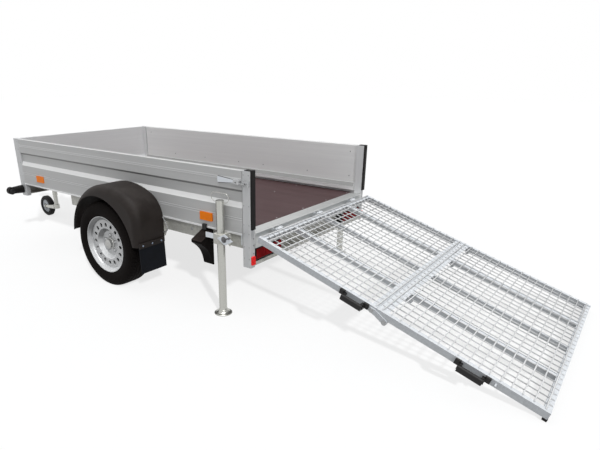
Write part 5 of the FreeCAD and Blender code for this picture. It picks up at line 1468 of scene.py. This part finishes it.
@dataclass(frozen=True)
class Fasteners:
    """Rivets, screws and bolts along the posts, walls, floor, ramp and frame."""

    rivet: Head = Head(0.0042, 0.0022)
    post_heights: tuple[float, ...] = (0.862, 0.800, 0.690, 0.580, 0.530)
    rear_heights: tuple[float, ...] = (0.862, 0.800, 0.690, 0.580, 0.530, 0.45, 0.38)
    front_insets: Pair = (0.018, 0.014)
    rear_inset: float = 0.012
    back_heights: tuple[float, ...] = (0.36, 0.41, 0.46, 0.50)
    board_depth: float = 0.026
    inner_rivet: Head = Head(0.0048, 0.0022)
    inner_places: tuple[Pair, ...] = ((0.206, 0.652), (-0.070, 0.653), (0.62, 0.652), (1.02, 0.653),
                                      (-0.52, 0.652), (-0.90, 0.835), (-0.90, 0.653), (1.36, 0.835))
    screw: Head = Head(0.0055, 0.0012)
    screw_columns: int = 6
    screw_rows: int = 5
    screw_insets: Pair = (0.02, 0.09)
    screw_half: float = 0.60
    screw_sunk: float = 0.0003
    sill_rivets: int = 7
    sill_inset: float = 0.014
    sill_sunk: float = 0.0002
    fold_bolt: Head = Head(0.009, 0.006, hexagon=True)
    fold_place: Triple = (0.849, 0.6770, 0.050)
    arm_bolt: Head = Head(0.008, 0.005, hexagon=True)
    arm_place: Triple = (0.765, 0.6731, 0.028)
    hinge_bolt: Head = Head(0.006, 0.004, hexagon=True)
    hinge_place: Triple = (0.010, 0.4875, 0.012)
    member_bolt: Head = Head(0.007, 0.005, hexagon=True)
    member_places: tuple[float, ...] = (0.19, 0.30, -0.52)
    member_rise: float = 0.045
    prop_bolt: Head = Head(0.006, 0.004, hexagon=True)
    prop_place: Triple = (-0.866, 0.7331, 0.482)
    overrun_bolt: Head = Head(0.010, 0.008, hexagon=True)
    overrun_steps: Pair = (0.05, 0.13)
    overrun_heights: Pair = (0.40, 0.44)

    def build(self, kit: Kit) -> None:
        """Fit every row of heads.

        Args:
            kit: fits the pieces.
        """
        self.on_walls(kit)
        self.on_floor(kit)
        self.on_ramp(kit)
        self.on_frame(kit)

    def on_walls(self, kit: Kit) -> None:
        """Rivets down the posts, outside, inside and behind, and along the side walls inside.

        Args:
            kit: fits the pieces.
        """
        front_low, front_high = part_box("front_posts")
        rear_low, rear_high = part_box("rear_posts")
        front_xs = (front_low[0] + self.front_insets[0], front_high[0] - self.front_insets[1])
        rear_xs = (rear_low[0] + self.rear_inset, rear_high[0] - self.rear_inset)
        for side, way in SIDES:
            y = way * front_high[1]
            places = [(x, y, z) for x in front_xs for z in self.post_heights]
            places += [(x, y, z) for x in rear_xs for z in self.rear_heights]
            kit.heads(f"post_rivets_{side}", places, (0, way, 0), self.rivet, slot="post_aluminium")
            y = way * (front_high[1] - self.board_depth)
            kit.heads(f"inner_rivets_{side}", [(x, y, z) for x, z in self.inner_places], (0, -way, 0),
                      self.inner_rivet, slot="wall_aluminium")
            y = way * (rear_high[1] - self.board_depth)
            places = [(rear_low[0], y, z) for z in self.back_heights]
            kit.heads(f"rear_post_rivets_{side}", places, (-1, 0, 0), self.rivet, finish=Finishes.rivet,
                      slot="post_aluminium")

    def on_floor(self, kit: Kit) -> None:
        """Screws through the floor into the cross members, and rivets along the sill.

        Args:
            kit: fits the pieces.
        """
        low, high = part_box("floor_panel")
        xs = np.linspace(low[0] + self.screw_insets[0], high[0] - self.screw_insets[1], self.screw_columns)
        ys = np.linspace(-self.screw_half, self.screw_half, self.screw_rows)
        z = high[2] - self.screw_sunk
        kit.heads("floor_screws", [(x, y, z) for x in xs for y in ys], (0, 0, 1), self.screw, slot="plywood")
        low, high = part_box("rear_sill")
        x, z = high[0] - self.sill_inset, high[2] - self.sill_sunk
        ys = np.linspace(-self.screw_half, self.screw_half, self.sill_rivets)
        kit.heads("sill_rivets", [(x, y, z) for y in ys], (0, 0, 1), self.screw, slot="sill_aluminium")

    def on_ramp(self, kit: Kit) -> None:
        """Bolt heads on the fold pivots and fold arms, and on the left hinge bracket.

        Args:
            kit: fits the pieces.
        """
        plane = RampPlane()
        for side, way in SIDES:
            for name, (s, y, drop), head in (("fold_bolt", self.fold_place, self.fold_bolt),
                                             ("fold_arm_bolt", self.arm_place, self.arm_bolt)):
                kit.heads(f"{name}_{side}", [plane.point(s, way * y, drop)], (0, way, 0), head, "ramp_inner",
                          slot="galvanised_ramp")
        low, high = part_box("hinge_brackets")
        inset, y, rise = self.hinge_place
        kit.heads("hinge_bolts_left", [(high[0] - inset, y, low[2] + rise)], (0, 1, 0), self.hinge_bolt)

    def on_frame(self, kit: Kit) -> None:
        """Bolts on the side members, the prop clamps and the overrun device.

        Args:
            kit: fits the pieces.
        """
        low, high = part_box("side_member_left")
        x, y, z = self.prop_place
        for side, way in SIDES:
            places = [(along, way * high[1], low[2] + self.member_rise) for along in self.member_places]
            kit.heads(f"member_bolts_{side}", places, (0, way, 0), self.member_bolt)
            kit.heads(f"prop_plate_rivets_{side}", [(x, way * y, z)], (0, way, 0), self.prop_bolt)
        low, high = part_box("overrun_device")
        for side, way in SIDES:
            places = [(low[0] + step, way * high[1], height) for step in self.overrun_steps
                      for height in self.overrun_heights]
            kit.heads(f"overrun_bolts_{side}", places, (0, way, 0), self.overrun_bolt, slot="coupling_paint")


@dataclass(frozen=True)
class GuardTrim:
    """Band with bolts that holds the flap to each mudguard, and the mudguard's inner side panel."""

    panel_radii: Pair = (0.336, 0.392)
    panel_angles: Pair = (0.35, 2.75)
    panel_steps: int = 60
    panel_depths: Pair = (0.0005, 0.0030)
    panel_edge: float = 0.0004
    band_below: float = 0.026
    band_above: float = 0.008
    band_depth: float = 0.006
    band_reach: Pair = (0.001, 0.206)
    band_edge: float = 0.0025
    flap_depth: float = 0.0043
    bolt: Head = Head(0.0065, 0.003)
    bolt_steps: tuple[float, ...] = (0.030, 0.105, 0.180)
    bolt_sunk: float = 0.0003

    def build(self, kit: Kit) -> None:
        """Fit band, bolts and panel on both mudguards.

        Args:
            kit: fits the pieces.
        """
        for side, way in SIDES:
            low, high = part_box(f"mudguard_{side}")
            outer, inner = (high[1], low[1]) if way > 0 else (low[1], high[1])
            self.band(kit, side, way, outer)
            self.panel(kit, side, way, inner)

    def panel(self, kit: Kit, side: str, way: int, face: float) -> None:
        """Fit the panel: an arc at two radii round the hub, carried a little way across.

        Args:
            kit: fits the pieces.
            side: left or right.
            way: +1 on the left, -1 on the right.
            face: place across of the mudguard's inner face.
        """
        hub = middle_of(f"tyre_{side}")
        angle = np.linspace(*self.panel_angles, self.panel_steps)
        ring = np.stack([np.cos(angle), np.sin(angle)], 1)
        inner, outer = self.panel_radii
        outline = np.vstack([ring * outer, ring[::-1] * inner]) + (hub[0], hub[2])
        ends = sorted(face + way * depth for depth in self.panel_depths)
        kit.fit(extruded(f"guard_panel_{side}", outline, 1, *ends, self.panel_edge), Finishes.guard, "root",
                "black_plastic")

    def band(self, kit: Kit, side: str, way: int, face: float) -> None:
        """Fit the band across the flap's top with its bolts.

        Args:
            kit: fits the pieces.
            side: left or right.
            way: +1 on the left, -1 on the right.
            face: place across of the mudguard's outer face.
        """
        _, flap_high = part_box("mud_flaps")
        top, front = flap_high[2], flap_high[0] - self.flap_depth
        rear = front - self.band_depth
        ends = sorted(face - way * reach for reach in self.band_reach)
        strip = block(f"flap_band_{side}", (rear, ends[0], top - self.band_below),
                      (front, ends[1], top + self.band_above), self.band_edge)
        kit.fit(strip, Finishes.guard, "root", "black_plastic")
        middle = top + (self.band_above - self.band_below) / 2
        places = [(rear + self.bolt_sunk, face - way * step, middle) for step in self.bolt_steps]
        kit.heads(f"flap_bolts_{side}", places, (-1, 0, 0), self.bolt, finish=Finishes.blue_plated)


@dataclass(frozen=True)
class WallTrim:
    """Painted highlights on the side walls outside: bright lines over the fine grooves and bright lower
    edges; and on the ledge inside, a painted highlight strip and a painted shade strip.
    """

    outer: float = 0.681
    sunk: float = 0.0004
    end_gap: float = 0.001
    edge: float = 0.0003
    edge_segments: int = 2
    line_heights: tuple[float, ...] = (0.8375, 0.8270, 0.6130, 0.6010)
    line_height: float = 0.0050
    line_proud: float = 0.0012
    foot_below: float = 0.0035
    foot_height: float = 0.0110
    foot_proud: float = 0.0034
    ledge_face: float = 0.627
    ledge_back: float = 0.641
    ledge_heights: Triple = (0.5515, 0.5795, 0.6075)
    ledge_skin: float = 0.0008
    strip_sunk: float = 0.0004
    painted_shade_sunk: float = 0.0002

    def build(self, kit: Kit) -> None:
        """Fit lines and strips on both walls.

        Args:
            kit: fits the pieces.
        """
        for side, way in SIDES:
            low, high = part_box(f"side_wall_{side}")
            ends = (low[0] + self.end_gap, high[0] - self.end_gap)
            for name, outline, finish in self.rows(side, low[2] - self.foot_below):
                row = extruded(name, outline * (way, 1), 0, *ends, self.edge, self.edge_segments)
                kit.fit(row, finish, "root", "wall_aluminium")

    def rows(self, side: str, foot: float) -> list[tuple[str, np.ndarray, Finish]]:
        """Every line and strip of one wall.

        Args:
            side: left or right.
            foot: height of the bright edge's lower side.

        Returns:
            The name, section on the left wall and finish of each.
        """
        below = self.line_height / 2
        # Painted highlights: bright strips over the wall's fine grooves.
        lines = (self.strip(z - below, self.line_height, self.line_proud) for z in self.line_heights)
        rows = [(f"wall_highlight_line_{side}_{index}", line, Finishes.highlight_line) for index, line in enumerate(lines)]
        # Painted highlight along the wall's lower edge.
        edge = self.strip(foot, self.foot_height, self.foot_proud)
        rows.append((f"wall_edge_{side}", edge, Finishes.line))
        bottom, middle, top = self.ledge_heights
        face, back = self.ledge_face, self.ledge_back
        # Painted highlight on the ledge's front face.
        strip = [(face - self.ledge_skin, bottom), (face - self.ledge_skin, middle),
                 (face + self.strip_sunk, middle), (face + self.strip_sunk, bottom)]
        rows.append((f"ledge_strip_{side}", np.array(strip), Finishes.line))
        # Painted shade on the ledge's upper slope.
        painted_ledge_shade = [(face - self.ledge_skin, middle), (back - self.ledge_skin, top),
                  (back + self.painted_shade_sunk, top), (face + self.painted_shade_sunk, middle)]
        rows.append((f"ledge_groove_{side}", np.array(painted_ledge_shade), Finishes.painted_ledge_shade))
        return rows

    def strip(self, bottom: float, height: float, proud: float) -> np.ndarray:
        """Section of a strip on the outer face.

        Args:
            bottom: its lower edge's height.
            height: how tall it is.
            proud: how far it stands out.

        Returns:
            Rows of place across and height.
        """
        inside, outside, top = self.outer - self.sunk, self.outer + proud, bottom + height
        return np.array([(inside, bottom), (outside, bottom), (outside, top), (inside, top)])


@dataclass(frozen=True)
class ChockTrim:
    """Wheel chock that hangs point down: bowed running face, rounded edges, raised ring and clip."""

    inner_face: float = 0.6556
    top: float = 0.500
    outer_top: float = 0.450
    lip: float = 0.432
    end_gap: float = 0.009
    tip: float = 0.010
    bow: float = 0.022
    bow_points: int = 16
    edge: float = 0.0045
    edge_segments: int = 4
    ring_half: Pair = (0.022, 0.030)
    ring_wire: float = 0.0022
    ring_steps: int = 48
    clip_low: Triple = (-0.016, 0.6813, 0.4985)
    clip_high: Triple = (0.016, 0.6933, 0.5345)
    clip_edge: float = 0.002

    def outline(self, bottom: float, outer: float) -> np.ndarray:
        """Section of the left chock: straight faces, and a running face bowed inward by half a sine wave.

        Args:
            bottom: height of its point.
            outer: place across of its outer edge.

        Returns:
            Rows of place across and height.
        """
        share = np.linspace(0.0, 1.0, self.bow_points)
        start, end = np.array((outer, self.lip)), np.array((self.inner_face + self.tip, bottom))
        along = end - start
        inward = np.array((along[1], -along[0])) / np.linalg.norm(along)
        bow = start + share[:, None] * along + self.bow * np.sin(np.pi * share)[:, None] * inward
        straight = [(self.inner_face, bottom), (self.inner_face, self.top), (outer, self.outer_top)]
        return np.vstack([straight, bow])

    def build(self, kit: Kit) -> None:
        """Fit both chocks in place of their plain solids.

        Args:
            kit: fits the pieces.
        """
        low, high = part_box("wheel_chocks")
        outer = high[1]
        middle, half = (low[0] + high[0]) / 2, (high[0] - low[0]) / 2 - self.end_gap
        outline = self.outline(low[2], outer)
        slope = np.array((outer - self.inner_face, self.outer_top - self.top))
        slope /= np.linalg.norm(slope)
        centre = np.array((self.inner_face + outer, self.top + self.outer_top)) / 2
        angle = np.linspace(0, 2 * np.pi, self.ring_steps)
        across = centre + self.ring_half[0] * np.sin(angle)[:, None] * slope
        for side, way in SIDES:
            body = extruded(f"chock_{side}", outline * (way, 1), 0, middle - half, middle + half, self.edge,
                            self.edge_segments)
            kit.fit(body, Finishes.chock, "root", "black_plastic", *(("wheel_chocks",) if way > 0 else ()))
            along = middle + self.ring_half[1] * np.cos(angle)
            ring = np.stack([along, way * across[:, 0], across[:, 1]], 1)
            kit.fit(piped(f"chock_ring_{side}", ring, (0.0, way * -slope[1], slope[0]), self.ring_wire),
                    Finishes.chock, "root", "black_plastic")
            clip = side_block(f"chock_clip_{side}", way, (middle + self.clip_low[0], *self.clip_low[1:]),
                              (middle + self.clip_high[0], *self.clip_high[1:]), self.clip_edge)
            kit.fit(clip, Finishes.handle_black, "root", "black_plastic")


@dataclass(frozen=True)
class LatchTrim:
    """Raised lever with a dark outline behind it that paints its shadow, web, pins and wire loop on each
    wall latch.
    """

    face: float = 0.6843
    height: float = 0.820
    lever_length: float = 0.115
    lever_halves: Pair = (0.008, 0.017)
    lever_nose: float = 0.003
    lever_depths: Pair = (0.0038, 0.0068)
    lever_edge: float = 0.001
    tip_inset: float = 0.004
    shadow_depths: Pair = (0.001, 0.0025)
    shadow_spread: Pair = (1.03, 1.22)
    shadow_edge: float = 0.0003
    web_half: float = 0.004
    web_short: float = 0.020
    web_depth: float = 0.0043
    pins: tuple[Pair, ...] = ((0.022, -0.004), (0.050, 0.006), (0.088, -0.002))
    pin: Head = Head(0.0055, 0.003)
    pin_out: float = 0.0155
    loop_ahead: float = 0.040
    loop_halves: Pair = (0.030, 0.011)
    loop_out: float = 0.014
    loop_wire: float = 0.0022
    loop_steps: int = 40

    def build(self, kit: Kit) -> None:
        """Fit the latch details on both sides.

        Args:
            kit: fits the pieces.
        """
        low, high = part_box("latches")
        outline = self.lever(high[0] - self.tip_inset)
        root, tip = outline[0, 0], outline[1, 0]
        middle = outline.mean(0)
        # Painted shadow: the lever's outline spread a little wider, laid dark just behind the lever.
        shadow_outline = middle + (outline - middle) * self.shadow_spread
        for side, way in SIDES:
            ends = mirrored(way, *(self.face + depth for depth in self.lever_depths))
            lever = extruded(f"latch_lever_{side}", outline, 1, *ends, self.lever_edge)
            kit.fit(lever, Finishes.bright_plate, "root", "zinc_tube")
            ends = mirrored(way, *(self.face + depth for depth in self.shadow_depths))
            painted_shade = extruded(f"latch_gap_{side}", shadow_outline, 1, *ends, self.shadow_edge)
            kit.fit(painted_shade, Finishes.rivet, "root", "zinc_tube")
            web = side_block(f"latch_web_{side}", way, (root, self.face, self.height - self.web_half),
                             (tip - self.web_short, self.face + self.web_depth, self.height + self.web_half),
                             self.lever_edge)
            kit.fit(web, Finishes.rivet, "root", "zinc_tube")
            pins = [(low[0] + step, way * (self.face + self.pin_out), self.height + lift)
                    for step, lift in self.pins]
            kit.heads(f"latch_pins_{side}", pins, (0, way, 0), self.pin, finish=Finishes.rivet,
                      slot="zinc_tube")
            centre = np.array((low[0] + self.loop_ahead, way * (self.face + self.loop_out), self.height))
            loop = ellipse(centre, *self.loop_halves, np.linspace(0, 2 * np.pi, self.loop_steps))
            kit.fit(piped(f"latch_loop_{side}", loop, ALONG_AXLE, self.loop_wire), Finishes.fastener, "root",
                    "zinc_tube")

    def lever(self, tip: float) -> np.ndarray:
        """Outline of the lever: a narrow root that widens towards a pointed tip.

        Args:
            tip: place along X of its wide end.

        Returns:
            Rows of place along X and height.
        """
        near, far = self.lever_halves
        root, z = tip - self.lever_length, self.height
        return np.array([(root, z - near), (tip, z - far), (tip + self.lever_nose, z), (tip, z + far),
                         (root, z + near)])


@dataclass(frozen=True)
class PropTrim:
    """Bracket plates, diamond plate, bolt and small lever on each prop leg's clamp."""

    centre: Pair = (-0.882, 0.4915)
    face: float = 0.7505
    edge: float = 0.0012
    plate_half: Pair = (0.060, 0.034)
    plate_depth: float = 0.004
    bolt: Head = Head(0.012, 0.009, hexagon=True)
    bolt_ahead: float = 0.006
    bolt_sunk: float = 0.0004
    lever_out: float = 0.006
    lever_reach: Triple = (-0.050, 0.0, 0.020)
    lever_profile: Profile = ((0.0, 0.005), (0.7, 0.0042), (0.8, 0.0065), (1.0, 0.006))
    lever_sides: int = 12
    brackets: tuple[tuple[str, Triple, Triple], ...] = (
        ("ahead", (-0.800, 0.7440, 0.480), (-0.727, 0.7480, 0.512)),
        ("end", (-0.9540, 0.6816, 0.4550), (-0.9480, 0.6846, 0.5225)))

    def build(self, kit: Kit) -> None:
        """Fit plates, bolts and levers on both clamps.

        Args:
            kit: fits the pieces.
        """
        x, z = self.centre
        wide, tall = self.plate_half
        outline = np.array([(x + wide, z), (x, z + tall), (x - wide, z), (x, z - tall)])
        outer = self.face + self.plate_depth
        for side, way in SIDES:
            for name, low, high in self.brackets:
                plate = side_block(f"prop_bracket_{name}_{side}", way, low, high, self.edge)
                kit.fit(plate, Finishes.bright_plate, "root", "galvanised_frame")
            ends = mirrored(way, self.face, outer)
            plate = extruded(f"prop_diamond_{side}", outline, 1, *ends, self.edge)
            kit.fit(plate, Finishes.bright_plate, "root", "galvanised_frame")
            head = (x + self.bolt_ahead, way * (outer - self.bolt_sunk), z)
            kit.heads(f"prop_bolt_{side}", [head], (0, way, 0), self.bolt, finish=Finishes.rivet)
            start = np.array((x + self.bolt_ahead, way * (outer + self.lever_out), z))
            lever = turned(f"prop_small_lever_{side}", start, start + self.lever_reach, self.lever_profile,
                           self.lever_sides)
            kit.fit(lever, Finishes.rivet, "root", "galvanised_frame")


@dataclass(frozen=True)
class HookTrim:
    """Bent wire hook of each mudguard's rear bracket."""

    path: Profile = ((-0.3010, 0.5207), (-0.3250, 0.4880), (-0.3440, 0.4546), (-0.3300, 0.4300),
                     (-0.2954, 0.4183))
    path_points: int = 24
    place: float = 0.700
    wire: float = 0.0032

    def build(self, kit: Kit) -> None:
        """Fit the hook on both sides.

        Args:
            kit: fits the pieces.
        """
        for side, way in SIDES:
            path = curve(np.array([(x, way * self.place, z) for x, z in self.path]), self.path_points)
            kit.fit(piped(f"guard_hook_{side}", path, ALONG_AXLE, self.wire), Finishes.fastener, "root",
                    "galvanised_frame")


@dataclass(frozen=True)
class Studio:
    """Pale floor, soft light and the camera that sees the trailer as in the photograph."""

    camera_place: Triple = (-2.7124, 2.7600, 1.3653)
    yaw: float = math.radians(-52.439)
    pitch: float = math.radians(-21.015)
    lens: float = 29.902
    sensor: float = 36.0
    shift: Pair = (0.05897, 0.07042)
    floor_half: float = 30.0
    floor_tone: float = 0.22
    floor_lift: float = 0.745
    floor_bounce: float = 0.40
    sky: Colour = (0.96, 0.98, 1.0)
    sky_low: float = 0.20
    sky_high: float = 0.75
    top_travel: Triple = (0.15, -0.10, -1.0)
    top_strength: float = 1.9
    top_angle: float = math.radians(40.0)
    side_travel: Triple = (1.4, -0.92, -1.0)
    side_strength: float = 0.7
    side_angle: float = math.radians(3.0)
    floor_strength: float = 3.2

    def build(self) -> None:
        """Set up camera, world, floor and lamps."""
        self.make_camera()
        self.make_world()
        floor = self.make_floor()
        self.make_sun("side light", self.side_strength, self.side_travel, self.side_angle)
        floor_light = self.make_sun("floor light", self.floor_strength, self.side_travel, self.side_angle)
        self.link(floor_light, floor, True)
        top_light = self.make_sun("top light", self.top_strength, self.top_travel, self.top_angle)
        self.link(top_light, floor, False)
        bpy.context.scene.view_settings.view_transform = "Standard"
        log.info("studio ready")

    def make_camera(self) -> None:
        """Place the camera; its yaw and pitch are worked out from the photograph's vanishing lines."""
        data = bpy.data.cameras.new("camera")
        data.lens = self.lens
        data.sensor_width = self.sensor
        data.shift_x, data.shift_y = self.shift
        camera = bpy.data.objects.new("camera", data)
        bpy.context.scene.collection.objects.link(camera)
        level = math.cos(self.pitch)
        ahead = Vector((level * math.cos(self.yaw), level * math.sin(self.yaw), math.sin(self.pitch)))
        camera.location = self.camera_place
        camera.rotation_euler = ahead.to_track_quat("-Z", "Y").to_euler()
        bpy.context.scene.camera = camera

    def make_world(self) -> None:
        """Light the scene softly, most from above; seen directly or mirrored, the world is white."""
        world = bpy.data.worlds.new("soft sky")
        world.use_nodes = True
        tree = world.node_tree
        tree.nodes.clear()
        bench = Bench(tree)
        place = bench.add("ShaderNodeTexCoord")
        parts = bench.add("ShaderNodeSeparateXYZ", Vector=place.outputs["Generated"])
        strength = bench.span(parts.outputs[2], 0.0, 1.0, self.sky_low, self.sky_high)
        lit = bench.add("ShaderNodeBackground", Color=(*self.sky, 1.0), Strength=strength)
        seen = bench.add("ShaderNodeBackground", Color=WHITE, Strength=1.0)
        output = bench.add("ShaderNodeOutputWorld")
        bench.feed(output, "Surface", self.seen_or_lit(bench, seen, lit))
        bpy.context.scene.world = world

    @staticmethod
    def seen_or_lit(bench: Bench, seen: Node, lit: Node) -> Socket:
        """Show one shader to rays from the camera, off gloss or through glass, and another to soft light.

        Args:
            bench: where the nodes go.
            seen: the shader that is seen.
            lit: the shader that gives or takes soft light.

        Returns:
            The joined shader's socket.
        """
        path = bench.add("ShaderNodeLightPath")
        gloss, glass = path.outputs["Is Glossy Ray"], path.outputs["Is Transmission Ray"]
        mirrored_ray = bench.sum_up("MAXIMUM", gloss, glass)
        mixed = bench.add("ShaderNodeMixShader")
        bench.feed(mixed, 0, bench.sum_up("MAXIMUM", path.outputs["Is Camera Ray"], mirrored_ray))
        bench.feed(mixed, 1, lit.outputs[0])
        bench.feed(mixed, 2, seen.outputs[0])
        return mixed.outputs[0]

    @staticmethod
    def make_sun(name: str, strength: float, travel: Triple, angle: float) -> Piece:
        """Add a soft parallel light.

        Args:
            name: the light's name.
            strength: how strong it is.
            travel: the way in which the light travels.
            angle: how wide the light looks, in radians; a wide one has soft shadows.

        Returns:
            The light.
        """
        data = bpy.data.lights.new(name, "SUN")
        data.energy = strength
        data.angle = angle
        lamp = bpy.data.objects.new(name, data)
        lamp.rotation_euler = Vector(travel).to_track_quat("-Z", "Y").to_euler()
        bpy.context.scene.collection.objects.link(lamp)
        return lamp

    @staticmethod
    def link(lamp: Piece, thing: Piece, lit: bool) -> None:
        """Let a light reach one object alone, or all but that one.

        Args:
            lamp: the light.
            thing: the one object.
            lit: True where only this object is lit, False where it alone is left out.
        """
        receivers = bpy.data.collections.new(f"{lamp.name} receivers")
        receivers.objects.link(thing)
        lamp.light_linking.receiver_collection = receivers
        if not lit:
            receivers.collection_objects[0].light_linking.link_state = "EXCLUDE"

    def make_floor(self) -> Piece:
        """Lay the pale floor; the camera sees it lifted to white, with the trailer's shadow kept.

        Returns:
            The floor.
        """
        half = self.floor_half
        points = np.array([(-half, -half, 0.0), (half, -half, 0.0), (half, half, 0.0), (-half, half, 0.0)])
        floor = mesh_piece("floor", points, np.array([[0, 1, 2, 3]]), smooth=False)
        material = bpy.data.materials.new("pale floor")
        material.use_nodes = True
        tree = material.node_tree
        tree.nodes.clear()
        bench = Bench(tree)
        plain = bench.add("ShaderNodeBsdfDiffuse", Color=(*[self.floor_bounce] * 3, 1.0))
        shaded = bench.add("ShaderNodeBsdfDiffuse", Color=(*[self.floor_tone] * 3, 1.0))
        lift = bench.add("ShaderNodeEmission", Color=WHITE, Strength=self.floor_lift)
        both = bench.add("ShaderNodeAddShader")
        bench.feed(both, 0, shaded.outputs[0])
        bench.feed(both, 1, lift.outputs[0])
        output = bench.add("ShaderNodeOutputMaterial")
        bench.feed(output, "Surface", self.seen_or_lit(bench, both, plain))
        floor.data.materials.append(material)
        return floor


def dress_nodes(book: GroupBook) -> None:
    """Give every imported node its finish.

    Args:
        book: the shared node groups.
    """
    for finish, nodes in NODE_FINISHES.items():
        for node in nodes:
            dress(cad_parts[node], finish, book)
        log.info("%s on %d nodes", finish.name, len(nodes))


def fit_pieces(kit: Kit) -> None:
    """Fit every fine piece to the dressed trailer.

    Args:
        kit: fits the pieces.
    """
    tyre = Tyre()
    for side, way in SIDES:
        piece = tyre.build(f"tyre_{side}_tread", middle_of(f"tyre_{side}"))
        kit.fit(piece, Finishes.tyre, f"wheel_{side}", "tyre_rubber", f"tyre_{side}")
        WheelTrim().build(kit, side, way)
        log.info("wheel %s fitted", side)
    trims = (*(RampMesh(*half) for half in RAMP_HALVES), RampPlates(), JockeyTrim(), LampTrim(), Fasteners(),
             GuardTrim(), WallTrim(), ChockTrim(), LatchTrim(), PropTrim(), HookTrim())
    for trim in trims:
        trim.build(kit)
        log.info("%s fitted", type(trim).__name__)


def main() -> None:
    """Build the studio and dress the trailer."""
    logging.basicConfig(level=logging.INFO, format="%(message)s")
    book = GroupBook()
    Studio().build()
    dress_nodes(book)
    fit_pieces(Kit(book))


if __name__ == "__main__":
    main()
